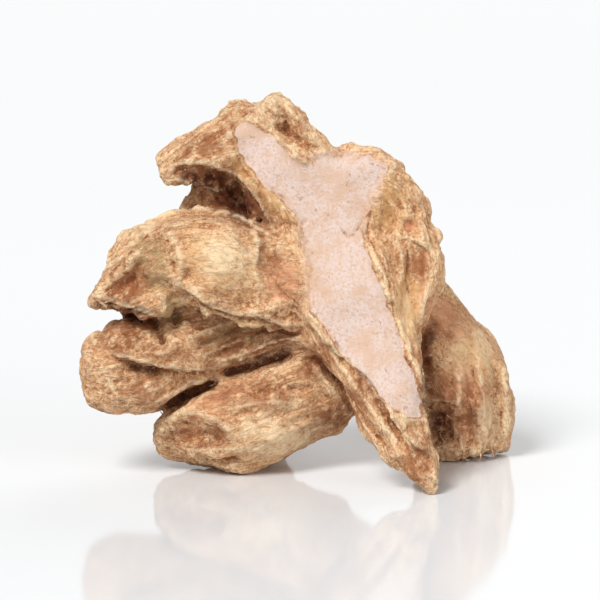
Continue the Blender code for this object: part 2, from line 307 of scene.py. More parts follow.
# thin cracks and hair lines, made on the finished mesh
FINE_MARKS = (
    Mark("crack_and_shade", 0.5, 0.45, ((16.5, 60), (15.4, 55.5), (15.4, 51.5), (17.9, 46.5), (19.6, 42),
                              (20.8, 34.5), (22.7, 27), (26.2, 19.5), (27.8, 13.5))),
    Mark("crack_and_shade", 0.4, 0.42, ((-15.8, 74.3), (-12.9, 67.3), (-9, 63), (-3.4, 60.3), (0.6, 56))),
    Mark("crack_and_shade", 0.4, 0.42, ((2.8, 36.5), (6.5, 30.8), (9.4, 26), (14, 20.6), (19, 15.2), (23.5, 12.3))),
    Mark("crack_and_shade", 0.5, 0.45, ((-5.5, 53.8), (-2.6, 54.8), (0, 54.4), (2.5, 55.8))),
    Mark("crack_and_shade", 0.5, 0.42, ((8.5, 54.5), (11, 51.6), (14, 55), (15.5, 57))),
    Mark("crack_and_shade", 0.35, 0.40, ((-44, 41.5), (-40, 45.5), (-36, 49.5), (-32, 53.8))),
    Mark("crack_and_shade", 0.4, 0.40, ((-30.5, 49.5), (-28.2, 46), (-26.8, 41.5))),
    Mark("crack_and_shade", 0.4, 0.40, ((-26, 40.2), (-20, 36), (-14, 33.6), (-9, 33.2), (-4, 31.2))),
    Mark("crack_and_shade", 0.5, 0.45, ((-10, 35.2), (-6.5, 33), (-3.2, 30.4), (1, 30.2))),
    Mark("crack_and_shade", 0.6, 0.5, ((-41.5, 24.5), (-37, 23.4), (-31, 21.9), (-25, 21.2), (-20, 21.4))),
    Mark("crack_and_shade", 0.9, 0.7, ((-34, 12), (-29, 14.6), (-25.9, 16.2), (-22, 17.9), (-18.6, 19.6))),
    Mark("crack_and_shade", 0.5, 0.45, ((-32.3, 32.5), (-31, 29.8), (-30.3, 27.3))),
    Mark("crack_and_shade", 0.35, 0.4, ((-44, 29.5), (-41.5, 31.3), (-37.5, 31.4), (-34.5, 29.6))),
    Mark("crack_and_shade", 0.35, 0.4, ((-44, 21.5), (-41.6, 16.8), (-37.5, 14))),
    Mark("crack_and_shade", 0.35, 0.4, ((-29, 9.5), (-24, 9.9), (-19, 9.3), (-16.5, 7.4))),
    Mark("crack_and_shade", 0.4, 0.4, ((-24, 2.6), (-18.5, 2), (-13, 3))),
    Mark("crack_and_shade", 0.45, 0.4, ((-29.5, 67.5), (-24.5, 71), (-19, 74.5), (-14.5, 78))),
    Mark("crack_and_shade", 0.5, 0.45, ((-30, 65.4), (-25, 66.7), (-20, 66.4), (-14.8, 64.2), (-10.6, 59.5),
                              (-7.2, 53.5))),
    Mark("crack_and_shade", 0.3, 0.4, ((-20, 70.5), (-15, 68.6), (-11, 65), (-8, 61.5))),
    Mark("crack_and_shade", 0.55, 0.45, ((-5.2, 81.5), (-2.8, 78.5), (-3.2, 75.5), (0.5, 73.2), (4, 71.2))),
    Mark("crack_and_shade", 0.5, 0.4, ((-8, 82.5), (-6.5, 79.5), (-4.5, 78.2), (-1, 78))),
    Mark("crack_and_shade", 0.5, 0.4, ((1, 80), (2.2, 76.6), (5.5, 73.8))),
    Mark("crack_and_shade", 0.4, 0.4, ((22.5, 51.5), (24.3, 47), (23.6, 42), (25, 36))),
    Mark("crack_and_shade", 0.4, 0.4, ((27, 27.5), (28.2, 22), (29, 16))),
    Mark("crack_and_shade", 0.4, 0.4, ((3, 27), (8, 20.5), (13, 13), (18, 6), (22, 2))),
    Mark("crack_and_shade", 0.4, 0.4, ((5, 29.5), (10, 23), (15.5, 17.5), (20, 10), (23, 5))),
    Mark("crack_and_shade", 0.4, 0.4, ((34, 24), (34.2, 18), (33.6, 14.5))),
    Mark("crack_and_shade", 0.5, 0.4, ((38.8, 24), (39.4, 16), (40.2, 8))),
    Mark("crack_and_shade", 0.4, 0.4, ((43.8, 24), (45.6, 16), (45.8, 7))),
    Mark("crack_and_shade", 0.4, 0.4, ((-17, 22.5), (-11, 24.8), (-5, 27), (0, 28.2))),
    Mark("crack_and_shade", 0.35, 0.4, ((-22, 25.6), (-16, 28.3), (-10, 31))),
)

SPOTS = (
    Spot("pit", 3.4, (32.3, 9.5), (3.6, 5.2), 10),
    Spot("pit", 1.7, (24.5, 54), (2.2, 2.0)),
    Spot("pit", 1.9, (20.5, 57.5), (3.6, 5.0), -15),
    Spot("pit", 1.8, (26.6, 45.5), (2.4, 4.6)),
    Spot("pit", 1.0, (23.5, 36), (1.8, 6.0)),
    Spot("pit", 2.4, (-38.5, 40.5), (5.5, 2.6), 40),
    Spot("pit", 1.4, (-37, 22.4), (3.2, 1.1)),
    Spot("pit", 1.8, (-22.5, 7.2), (7.0, 2.8)),
    Spot("pit", 1.2, (-8, 49), (1.6, 1.3)),
    Spot("pit", 1.2, (24.8, 9.3), (2.2, 3.6), -20),
    Spot("pit", 1.6, (21.5, -0.5), (2.6, 4.0), -20),
    Spot("pit", 1.6, (-3.5, 76), (2.6, 1.8), 30),
    Spot("pit", 1.1, (-7, 46.5), (3.4, 2.8)),
    Spot("pit", 1.6, (-43, 50), (5.5, 3.0), 50),
    Spot("pit", 1.7, (-35.5, 34), (7.5, 1.8), -8),
    Spot("swell", 1.3, (-17, 46), (8.0, 6.5), -20),
    Spot("swell", 1.0, (-38, 29), (5.0, 4.0)),
    Spot("swell", 1.2, (-8, 8), (9.0, 5.0)),
    Spot("swell", 0.9, (-9, 16), (6.0, 3.0)),
    Spot("swell", 1.0, (36.5, 27), (5.0, 5.0)),
    # flats with little unevenness
    Spot("calm", 0.85, (12.5, 14), (17, 5.0), -52),
    Spot("calm", 0.5, (-16, 45), (12, 8), -15),
    Spot("calm", 0.6, (37, 28), (9, 8), -50),
    Spot("calm", 0.5, (-8, 8), (11, 6)),
    Spot("calm", 0.5, (24, 43), (6, 16)),
    Spot("calm", 0.5, (-20, 75), (9, 4), 35),
    # where the scraped face fades into the skin
    Spot("blend", 1.0, (1, 45.5), (5.5, 13)),
    Spot("blend", 1.0, (15.5, 60), (7.0, 10)),
    Spot("blend", 0.8, (6, 70), (11, 3)),
    # colour only. The dark spots, and the brown spots in pits and grooves, under the arm, under the palm's
    # ledge and on the thumb under the flap, are painted shade; the other stains are the skin's own colour
    Spot("brown", 0.75, (-22.5, 7), (9.0, 3.4)),
    # painted shade under the arm
    Spot("brown", 0.9, (-20, 65.5), (8.0, 2.4), -5),
    Spot("brown", 1.0, (-15, 60), (12.0, 6.0), -32),
    # dark: painted shade in the arm's hollow, the flap's groove, the thumb's groove, the valley, pits and
    # the flank's grooves
    Spot("dark", 1.0, (-14.5, 59.5), (9.5, 4.4), -34),
    Spot("dark", 1.0, (-21, 64.6), (7.5, 2.0), -4),
    Spot("dark", 1.0, (-37, 35), (8.0, 2.4), -12),
    Spot("dark", 0.8, (-26, 15.5), (9.0, 1.6), 27),
    Spot("dark", 0.6, (-9, 24), (10.0, 2.0), 17),
    Spot("dark", 0.8, (-35.5, 22.3), (3.2, 1.1), -8),
    Spot("dark", 0.6, (28, 20), (1.8, 10.0), -5),
    Spot("dark", 1.0, (32.3, 9.3), (3.4, 4.6), 10),
    Spot("dark", 0.7, (29, 29), (1.6, 5.0), -20),
    # the next brown spots, except the two on the right foot, are painted shade in pits, a groove and under
    # the palm's ledge
    Spot("brown", 0.8, (-7.5, 47), (4.0, 4.0)),
    Spot("brown", 0.8, (26.5, 45), (2.8, 4.6)),
    Spot("brown", 0.8, (38.5, 13), (5.0, 7.0)),
    Spot("brown", 0.7, (34, 17), (4.0, 5.0)),
    Spot("brown", 0.9, (28, 26), (2.5, 9.0), -10),
    Spot("brown", 1.0, (-38, 40.5), (6.5, 3.6), 40),
    Spot("brown", 0.8, (-10, 28), (12.0, 4.0), 15),
    Spot("brown", 0.7, (-30, 25.5), (6.5, 3.0), -10),
    Spot("brown", 0.8, (7, 11.5), (6.0, 4.0)),
    Spot("brown", 0.6, (-1.5, 77), (5.5, 4.5)),
    # painted shade on the thumb under the flap
    Spot("brown", 0.9, (-39, 28.5), (7.0, 5.0)),
    Spot("brown", 0.8, (-21, 71.5), (9.5, 4.0), 35),
    Spot("brown", 0.9, (5, 25), (3.5, 9.0), -40),
    Spot("brown", 0.7, (-8, 15.5), (8.0, 3.0), 10),
    # painted shade under the flap's ledge
    Spot("brown", 0.9, (-35, 32.5), (7.5, 3.0), -20),
    Spot("brown", 0.7, (-35, 18), (7.5, 4.5)),
    Spot("brown", 0.8, (12, 15), (4.0, 14.0), -40),
    Spot("brown", 0.8, (26, 3), (4.0, 7.0)),
    Spot("brown", 0.6, (-14, 17), (9.0, 2.6), 15),
    Spot("ochre", 0.6, (-18, 46), (10.0, 7.0), -20),
    Spot("ochre", 0.8, (20, 58.5), (4.5, 7.0)),
    Spot("warm", 0.7, (6, 63), (4.5, 6.0), 15),
    Spot("warm", 0.5, (-1, 66), (5.0, 2.5), -30),
    Spot("warm", 0.6, (12, 57), (3.0, 6.0)),
    Spot("warm", 0.7, (4, 53), (3.0, 3.0)),
    Spot("warm", 0.6, (18, 33), (2.5, 8.0), 15),
    Spot("ochre", 0.8, (24, 37), (3.0, 9.0)),
    Spot("ochre", 0.9, (-9, 63), (3.0, 9.5), 45),
    Spot("ochre", 0.6, (38, 25), (5.0, 6.0)),
    Spot("grey", 0.9, (-33, 46), (4.5, 7.5), 20),
    Spot("grey", 0.7, (-15, 29.5), (9.0, 4.0), 20),
    Spot("grey", 0.8, (-28.5, 35), (3.0, 5.0)),
    Spot("grey", 0.4, (44, 22), (3.0, 6.0)),
    Spot("pink", 0.9, (-4, 42), (4.5, 6.0)),
    Spot("pink", 0.5, (-41, 31.5), (4.0, 1.8)),
    Spot("pink", 0.9, (33, 33), (7.0, 4.5), -50),
    Spot("pink", 0.8, (36.5, 15), (7.0, 10.0)),
    Spot("pink", 0.9, (24.5, 54.3), (1.8, 2.2)),
    Spot("pink", 0.6, (-20, 14), (8.0, 3.0), 28),
    Spot("pale", 0.8, (-5, 7), (10.5, 5.5)),
    Spot("pale", 0.5, (-6, 80.5), (5.0, 3.5)),
    Spot("pale", 0.4, (37, 24), (4.0, 6.0), 10),
    Spot("pale", 0.8, (-16, 47), (8.0, 6.0), -20),
    Spot("pale", 0.6, (-33, 55), (5.0, 2.0), 35),
    Spot("pale", 0.6, (43, 10), (4.0, 6.0)),
    Spot("pale", 0.5, (41.5, 27), (2.5, 6.0), 20),
    Spot("pale", 0.5, (23.5, 34), (2.0, 7.0)),
    Spot("crust", 1.0, (-2, 79), (7.0, 6.0)),
    Spot("crust", 0.9, (-38, 42), (9.0, 5.0), 40),
    Spot("crust", 0.9, (38, 5), (9.0, 5.0)),
    Spot("crust", 0.7, (-40, 18), (6.0, 4.0)),
    Spot("crust", 0.7, (-27, 67), (6.0, 4.0), 30),
    Spot("crust", 0.6, (-13, 27), (8.0, 4.0), 20),
    Spot("crust", 0.6, (24, 56), (4.0, 5.0)),
    Spot("crust", 0.6, (-24, 4), (7.0, 4.0)),
)


# ---------------------------------------------------------------- noise that is the same on every run

GRADIENTS = np.random.default_rng(7).normal(size=(256, 3))
GRADIENTS /= np.linalg.norm(GRADIENTS, axis=1)[:, None]


def lattice_pick(cell, seed):
    """Which of the 256 gradients stands on each corner of the lattice."""
    x, y, z = (cell[:, axis].astype(np.uint32) for axis in range(3))
    mix = x * np.uint32(73856093)
    mix ^= y * np.uint32(19349663)
    mix ^= z * np.uint32(83492791)
    mix ^= np.uint32((seed * 2654435761) % 4294967296)
    mix ^= mix >> np.uint32(13)
    mix *= np.uint32(1274126177)
    mix ^= mix >> np.uint32(16)
    return (mix & np.uint32(255)).astype(np.int64)


def soft_noise(points, seed):
    """Smooth noise of about -1 to 1, with one swing in each unit of length."""
    cell = np.floor(points).astype(np.int64)
    part = points - cell
    fade = part**3 * (part * (part * 6 - 15) + 10)
    total = np.zeros(len(points))
    for corner in itertools.product((0, 1), repeat=3):
        step = np.array(corner)
        slope = GRADIENTS[lattice_pick(cell + step, seed)]
        weight = np.where(step, fade, 1 - fade).prod(axis=1)
        total += weight * ((part - step) * slope).sum(axis=1)
    return total * 1.7


def rough_noise(points, seed, octaves):
    """Several sizes of soft noise on top of each other."""
    total = np.zeros(len(points))
    for octave in range(octaves):
        total += soft_noise(points * 2.03**octave, seed + octave) * 0.55**octave
    return total


def rise(values, low, high):
    """0 below low, 1 above high, and a soft step between them."""
    share = np.clip((values - low) / (high - low), 0, 1)
    return share * share * (3 - 2 * share)


# ---------------------------------------------------------------- curves and meshes


def curve_through(points, spacing):
    """A smooth curve through the points, with a point about every spacing."""
    points = np.array(points, float)
    before = np.vstack([2 * points[0] - points[1], points, 2 * points[-1] - points[-2]])
    drawn = []
    for k in range(len(points) - 1):
        p0, p1, p2, p3 = before[k : k + 4]
        count = max(2, int(np.linalg.norm(p2 - p1) / spacing))
        t = (np.arange(count) / count)[:, None]
        drawn.append(
            0.5 * (2 * p1 + (p2 - p0) * t + (2 * p0 - 5 * p1 + 4 * p2 - p3) * t**2
                   + (3 * p1 - p0 - 3 * p2 + p3) * t**3)
        )
    drawn.append(points[-1:])
    return np.vstack(drawn)


def lengths_along(line):
    """How far along the line each of its points is."""
    steps = np.linalg.norm(np.diff(line, axis=0), axis=1)
    return np.concatenate([[0.0], np.cumsum(steps)])


def nearest_on(line, points):
    """The index of the line's nearest point for every point."""
    found = np.empty(len(points), np.int64)
    for start in range(0, len(points), 20000):
        part = points[start : start + 20000]
        gap = (line**2).sum(axis=1)[None, :] - 2 * part @ line.T
        found[start : start + 20000] = gap.argmin(axis=1)
    return found


class Skin:
    """The skin's mesh while it is worked on: points in millimetres, normals and neighbours."""

    def __init__(self, piece):
        self.piece = piece
        mesh = piece.data
        self.count = len(mesh.vertices)
        flat = np.empty(self.count * 3)
        mesh.vertices.foreach_get("co", flat)
        self.points = flat.reshape(-1, 3) / MM
        edges = np.empty(len(mesh.edges) * 2, np.int32)
        mesh.edges.foreach_get("vertices", edges)
        self.edges = edges.reshape(-1, 2)
        self.degree = np.bincount(self.edges.ravel(), minlength=self.count).astype(float)
        self.normals = None
        self.write()

    def write(self):
        """Puts the points back into the mesh and reads its normals."""
        self.piece.data.vertices.foreach_set("co", (self.points * MM).ravel())
        self.piece.data.update()
        flat = np.empty(self.count * 3)
        self.piece.data.vertices.foreach_get("normal", flat)
        self.normals = flat.reshape(-1, 3)

    def averaged(self, values, rounds, hold=None):
        """The values after each has moved to the mean of its neighbours a number of times."""
        values = np.array(values, float)
        columns = values.reshape(self.count, -1)
        one, two = self.edges.T
        for _ in range(rounds):
            mean = np.empty_like(columns)
            for k in range(columns.shape[1]):
                column = columns[:, k]
                total = np.bincount(one, column[two], self.count)
                total += np.bincount(two, column[one], self.count)
                mean[:, k] = total / self.degree
            moved = 0.5 * columns + 0.5 * mean
            columns = moved if hold is None else columns + (moved - columns) * hold[:, None]
        return columns.reshape(values.shape)

    def relax(self, rounds, hold=None):
        """Smooths the shape."""
        self.points = self.averaged(self.points, rounds, hold)
        self.write()

    def push(self, heights, soften=4):
        """Moves every point out along a softened normal."""
        normals = self.averaged(self.normals, soften)
        normals /= np.linalg.norm(normals, axis=1)[:, None]
        self.points = self.points + normals * heights[:, None]
        self.write()

    def tree(self):
        """A search tree of the surface, in millimetres."""
        polygons = [tuple(p.vertices) for p in self.piece.data.polygons]
        return BVHTree.FromPolygons([Vector(p) for p in self.points], polygons)

    def hollows(self, rounds):
        """How deep each point lies below the softened surface around it, in millimetres."""
        soft = self.averaged(self.points, rounds)
        return ((soft - self.points) * self.normals).sum(axis=1)


def remesh(piece, voxel):
    """Rebuilds the piece as one even mesh and keeps only its largest closed part."""
    modifier = piece.modifiers.new("Even mesh", "REMESH")
    modifier.mode = "VOXEL"
    modifier.voxel_size = voxel
    modifier.adaptivity = 0.0
    depsgraph = bpy.context.evaluated_depsgraph_get()
    fresh = bpy.data.meshes.new_from_object(piece.evaluated_get(depsgraph))
    piece.modifiers.clear()
    old = piece.data
    piece.data = fresh
    bpy.data.meshes.remove(old)
    keep_largest(piece.data)


def keep_largest(mesh):
    """Deletes every loose part of the mesh but the one with the most points."""
    count = len(mesh.vertices)
    edges = np.empty(len(mesh.edges) * 2, np.int32)
    mesh.edges.foreach_get("vertices", edges)
    one, two = edges.reshape(-1, 2).T
    label = np.arange(count)
    while True:
        least = np.minimum(label[one], label[two])
        fresh = label.copy()
        np.minimum.at(fresh, one, least)
        np.minimum.at(fresh, two, least)
        fresh = fresh[fresh]
        if np.array_equal(fresh, label):
            break
        label = fresh
    biggest = np.bincount(label).argmax()
    if (label == biggest).all():
        return
    work = bmesh.new()
    work.from_mesh(mesh)
    work.verts.ensure_lookup_table()
    loose = [work.verts[k] for k in np.flatnonzero(label != biggest)]
    bmesh.ops.delete(work, geom=loose, context="VERTS")
    work.to_mesh(mesh)
    work.free()


# ---------------------------------------------------------------- lengths along and across the fingers


class FingerSpace:
    """Where every point of the skin lies along and across the finger that carries it."""

    def __init__(self, skin):
        self.count = skin.count
        self.parts = []
        total = np.zeros(skin.count)
        best = np.zeros(skin.count)
        second = np.zeros(skin.count)
        self.place = np.zeros((skin.count, 3))
        for number, finger in enumerate(FINGERS):
            line = curve_through(finger.line, 1.0)
            along = lengths_along(line)
            stops = [np.abs(line - p).sum(axis=1).argmin() for p in np.array(finger.line, float)]
            half = np.interp(np.arange(len(line)), stops, finger.half)
            tangent, side, up = self.frames(line)
            near = nearest_on(line, skin.points)
            offset = skin.points - line[near]
            forward = (offset * tangent[near]).sum(axis=1)
            across = (offset * side[near]).sum(axis=1)
            over = (offset * up[near]).sum(axis=1)
            reach = np.sqrt((offset**2).sum(axis=1)) / half[near]
            weight = np.exp(-6 * np.clip(reach - 1, -0.3, 4))
            taken = np.flatnonzero(weight > 0.02)
            place = np.stack([along[near] + forward, across, over], axis=1)
            place += np.array((37.0, 19.0, 53.0)) * (number + 1)
            self.parts.append((taken, weight[taken], place[taken]))
            total[taken] += weight[taken]
            ahead = weight > best
            second = np.where(ahead, best, np.maximum(second, weight))
            best = np.where(ahead, weight, best)
            self.place[ahead] = place[ahead]
        self.total = np.maximum(total, 1e-6)
        self.certain = rise((best - second) / np.maximum(best, 1e-6), 0.05, 0.5)

    @staticmethod
    def frames(line):
        """A forward, side and up direction at each point of the line that never twist."""
        tangent = np.gradient(line, axis=0)
        tangent /= np.linalg.norm(tangent, axis=1)[:, None]
        side = np.empty_like(tangent)
        current = np.array((0.31, 0.83, 0.47))
        for k, forward in enumerate(tangent):
            current = current - forward * (current @ forward)
            current /= np.linalg.norm(current)
            side[k] = current
        return tangent, side, np.cross(tangent, side)

    def noise(self, seed, along, across, octaves=1, bend=0.0):
        """Noise drawn out along the fingers; bend makes it wander instead of running straight."""
        total = np.zeros(self.count)
        size = np.array((along, across, across))
        for taken, weight, place in self.parts:
            spot = place / size
            if bend:
                shift = [soft_noise(place / (2.2 * across), seed + 900 + k) for k in range(3)]
                spot = spot + bend * np.stack(shift, axis=1)
            total[taken] += weight * rough_noise(spot, seed, octaves)
        return total / self.total

    def crests(self, seed, along, across, bend=0.0):
        """Sharp crests with rounded valleys between them, about -0.6 to 0.6."""
        field = self.noise(seed, along, across, 1, bend)
        return 0.6 - 1.7 * np.sqrt(field * field + 0.0009)


# ---------------------------------------------------------------- marks and spots laid on the skin


def seen_place(points, side):
    """Across and up of every point for somebody who looks from that side."""
    right, up, _ = SIDES[side]
    return np.stack([points @ right, points @ up], axis=1)


def dropped_on(tree, places, side):
    """Where straight looks from that side first meet the skin."""
    right, up, look = SIDES[side]
    found = []
    for across, height in places:
        start = right * across + up * height - look * FAR_OFF
        hit = tree.ray_cast(Vector(start), Vector(look))[0]
        if hit is not None:
            found.append(tuple(hit))
    return np.array(found).reshape(-1, 3)


def in_sight(tree, skin, side):
    """1 for points that can be seen from that side, 0 for points that others hide."""
    _, _, look = SIDES[side]
    ahead = Vector(look)
    sight = np.zeros(skin.count)
    for k in np.flatnonzero(skin.normals @ look < 0.15):
        start = Vector(skin.points[k]) - ahead * FAR_OFF
        distance = tree.ray_cast(start, ahead)[3]
        if distance is not None and distance > FAR_OFF - GRAZE:
            sight[k] = 1
    return sight


def creases_along_fingers(side, seed, count):
    """Ridges, grooves and ledges that follow each finger on a side with no marks of its own."""
    random = np.random.default_rng(seed)
    right, up, look = SIDES[side]
    marks = []
    for finger in FINGERS:
        line = curve_through(finger.line, 2.0)
        half = np.mean(finger.half)
        place = np.stack([line @ right, line @ up], axis=1)
        run = np.gradient(place, axis=0)
        run /= np.linalg.norm(run, axis=1)[:, None] + 1e-9
        left = np.stack([-run[:, 1], run[:, 0]], axis=1)
        for _ in range(count):
            kind = ("ridge", "groove", "ledge", "ridge")[random.integers(4)]
            start, span = random.uniform(0.02, 0.5), random.uniform(0.25, 0.5)
            shift = random.uniform(-0.75, 0.75) * half
            first = int(start * len(line))
            last = min(len(line) - 1, int((start + span) * len(line)))
            picks = np.linspace(first, last, 5).astype(int)
            drift = np.cumsum(random.normal(0, 0.7, 5))
            points = place[picks] + left[picks] * (shift + drift)[:, None]
            height, reach = random.uniform(0.7, 1.4), random.uniform(0.8, 1.5)
            if last - first > 3:
                marks.append(Mark(kind, height, reach, tuple(map(tuple, points)), side))
    return marks


def scattered_spots(side, seed, count):
    """Swellings, hollows and stains strewn over a side with no spots of its own."""
    random = np.random.default_rng(seed)
    kinds = ("brown", "ochre", "pale", "grey", "pink", "brown", "crust", "pit", "swell", "dark", "ochre")
    spots = []
    for k in range(count):
        centre = (random.uniform(-46, 46), random.uniform(2, 82))
        size = (random.uniform(2.5, 8), random.uniform(2, 6))
        turn = random.uniform(0, 180)
        spots.append(Spot(kinds[k % len(kinds)], random.uniform(0.5, 0.9), centre, size, turn, side))
    return spots


def hidden_marks():
    """The creases of the back and of both ends."""
    marks = list(SCARS)
    for number, side in enumerate(("back", "left", "right")):
        marks += creases_along_fingers(side, 300 + number, 4 if side == "back" else 2)
    return marks


def hidden_spots():
    """The spots of the back, of both ends and of the top."""
    spots = []
    for number, side in enumerate(("back", "left", "right", "top")):
        spots += scattered_spots(side, 400 + number, 44 if side == "back" else 22)
    return spots


def looked_at(tree, skin):
    """What can be seen from each side; the other sides leave alone what faces the front."""
    sight = {side: in_sight(tree, skin, side) for side in SIDES}
    facing_front = rise(-(skin.normals @ SIDES["front"][2]), 0.0, 0.35)
    hidden = 1 - skin.averaged(facing_front * sight["front"], 6)
    for side in SIDES:
        if side != "front":
            sight[side] = sight[side] * hidden
    return sight, hidden


def laid_marks(tree, marks):
    """Every mark with its line on the skin and the direction to the left of the line."""
    laid = []
    for mark in marks:
        right, up, _ = SIDES[mark.side]
        line = dropped_on(tree, curve_through(mark.points, MARK_STEP), mark.side)
        if len(line) < 4:
            continue
        run = np.gradient(line, axis=0)
        left = -(run @ up)[:, None] * right + (run @ right)[:, None] * up
        left /= np.linalg.norm(left, axis=1)[:, None] + 1e-9
        laid.append((mark, line, left))
    return laid


def sharper(marks):
    """The same marks, lower and narrower, to bring back crests that the even mesh rounded off."""
    return [replace(mark, height=0.4 * mark.height, reach=0.55 * mark.reach) for mark in marks]


def mark_moves(skin, laid, jitter):
    """How far the marks lift every point and how far they drag it sideways, in millimetres, with the
    painted shade along cracks, grooves and under ledges, and the pale crests, which are partly worn skin
    and partly painted highlight.
    """
    lift = np.zeros(skin.count)
    drag = np.zeros((skin.count, 3))
    crack_and_shade = np.zeros(skin.count)
    crest = np.zeros(skin.count)
    for mark, line, left in laid:
        reach = mark.reach * (6.0 if mark.kind == "ledge" else 3.2)
        low = line.min(axis=0) - reach
        high = line.max(axis=0) + reach
        near = np.flatnonzero(((skin.points > low) & (skin.points < high)).all(axis=1))
        if not len(near):
            continue
        points = skin.points[near]
        wobble = jitter[near]
        index = nearest_on(line, points)
        offset = points - line[index]
        gap = np.linalg.norm(offset, axis=1)
        share = index / (len(line) - 1)
        strength = rise(share, -0.02, 0.2) * rise(1 - share, -0.02, 0.2) * (1 + 0.35 * wobble)
        strength = np.where(gap < reach, strength, 0) * mark.height
        if mark.kind == "ledge":
            above = (offset * left[index]).sum(axis=1) + 0.3 * wobble * mark.reach
            fade = 1 - rise(gap / reach, 0.5, 1.0)
            over = rise(above, -0.35 * mark.reach, 0.25 * mark.reach)
            upper = over * np.exp(-np.abs(above) / (1.9 * mark.reach))
            lower = (1 - over) * np.exp(-np.abs(above) / (1.6 * mark.reach))
            lift[near] += strength * fade * (upper - 1.1 * lower)
            lean = strength * 0.7 * fade * over * np.exp(-((above / (0.8 * mark.reach)) ** 2))
            drag[near] -= left[index] * lean[:, None]
            # painted shade: the skin under a ledge is darkened
            crack_and_shade[near] = np.maximum(crack_and_shade[near], 0.5 * fade * lower * (gap < 2 * mark.reach))
            # pale ledge edge: partly worn skin, partly painted highlight
            edge = fade * over * np.exp(-((above / (0.6 * mark.reach)) ** 2))
            crest[near] = np.maximum(crest[near], edge * (gap < 1.5 * mark.reach))
            continue
        gap = np.abs(gap + wobble * 0.3 * mark.reach)
        if mark.kind == "ridge":
            lift[near] += strength * np.exp(-((gap / mark.reach) ** 1.2))
            # pale ridge top: partly worn skin, partly painted highlight
            edge = np.exp(-((gap / (0.5 * mark.reach)) ** 2)) * (strength > 0.2 * mark.height)
            crest[near] = np.maximum(crest[near], edge)
        else:
            deep = np.exp(-((gap / mark.reach) ** 1.7))
            lift[near] -= strength * deep
            # painted shade: the floor of a groove or crack is darkened
            dark = min(1.0, mark.height / 1.6) if mark.kind == "groove" else 1.0
            crack_and_shade[near] = np.maximum(crack_and_shade[near], dark * deep * (strength > 0.2 * mark.height))
    return lift, drag, crack_and_shade, crest


def spot_mask(skin, sight, spot, jitter):
    """How strongly a spot covers every point, 0 to 1."""
    place = seen_place(skin.points, spot.side) - np.array(spot.centre, float)
    turn = math.radians(spot.turn)
    across = place[:, 0] * math.cos(turn) + place[:, 1] * math.sin(turn)
    height = place[:, 1] * math.cos(turn) - place[:, 0] * math.sin(turn)
    reach = np.sqrt((across / spot.size[0]) ** 2 + (height / spot.size[1]) ** 2)
    reach = reach * (1 + 0.28 * jitter)
    return sight[spot.side] * (1 - rise(reach, 0.35, 1.25))


def gap_to_outline(places, outline):
    """The distance to a closed outline: above 0 inside it, below 0 outside it."""
    outline = np.array(outline, float)
    following = np.roll(outline, -1, axis=0)
    least = np.full(len(places), 1e9)
    inside = np.zeros(len(places), bool)
    for a, b in zip(outline, following):
        span = b - a
        share = np.clip(((places - a) @ span) / (span @ span), 0, 1)
        gap = np.linalg.norm(places - a - share[:, None] * span, axis=1)
        least = np.minimum(least, gap)
        crosses = (a[1] > places[:, 1]) != (b[1] > places[:, 1])
        meets = a[0] + (places[:, 1] - a[1]) / (span[1] if span[1] else 1e-9) * span[0]
        inside ^= crosses & (places[:, 0] < meets)
    return np.where(inside, least, -least)


# ---------------------------------------------------------------- shaping the skin


def copied_root():
    """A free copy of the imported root's mesh, with the rolls standing in it."""
    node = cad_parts[ROOT_NODE]
    work = bmesh.new()
    work.from_mesh(node.data)
    for roll in ROLLS:
        add_roll(work, roll)
    mesh = bpy.data.meshes.new("ginger_skin")
    work.to_mesh(mesh)
    work.free()
    piece = bpy.data.objects.new("ginger_skin", mesh)
    bpy.context.scene.collection.objects.link(piece)
    return piece


def add_roll(work, roll):
    """A closed round roll along a line."""
    line = curve_through(roll.line, 1.0)
    stops = [np.abs(line - p).sum(axis=1).argmin() for p in np.array(roll.line, float)]
    add_tube(work, line, np.interp(np.arange(len(line)), stops, roll.half), 16)


def add_tube(work, line, half, around):
    """A closed tube along a line, with a half width at each of its points."""
    _, side, up = FingerSpace.frames(line)
    turns = np.linspace(0, 2 * math.pi, around, endpoint=False)
    rings = []
    for place, radius, one, two in zip(line, half, side, up):
        ring = place + radius * (np.cos(turns)[:, None] * one + np.sin(turns)[:, None] * two)
        rings.append([work.verts.new(Vector(p * MM)) for p in ring])
    for before, after in zip(rings, rings[1:]):
        for k in range(around):
            work.faces.new((before[k - 1], before[k], after[k], after[k - 1]))
    work.faces.new(reversed(rings[0]))
    work.faces.new(rings[-1])


def calmed(skin, sight, jitter):
    """How much of the loose unevenness is kept: less on the smooth flats."""
    kept = np.ones(skin.count)
    for spot in SPOTS:
        if spot.kind == "calm":
            kept *= 1 - spot.amount * spot_mask(skin, sight, spot, jitter)
    return kept


def pinched(points):
    """The front tip drawn in to a point as it nears the floor."""
    near = 1 - rise(points[:, 2], 0.5, 6.5)
    near = near * rise(-points[:, 1], 16, 20) * rise(points[:, 0], 17, 20)
    shrink = 1 - 0.72 * near
    moved = points.copy()
    moved[:, 0] = TIP_END[0] + (points[:, 0] - TIP_END[0]) * shrink
    moved[:, 1] = TIP_END[1] + (points[:, 1] - TIP_END[1]) * shrink
    return moved


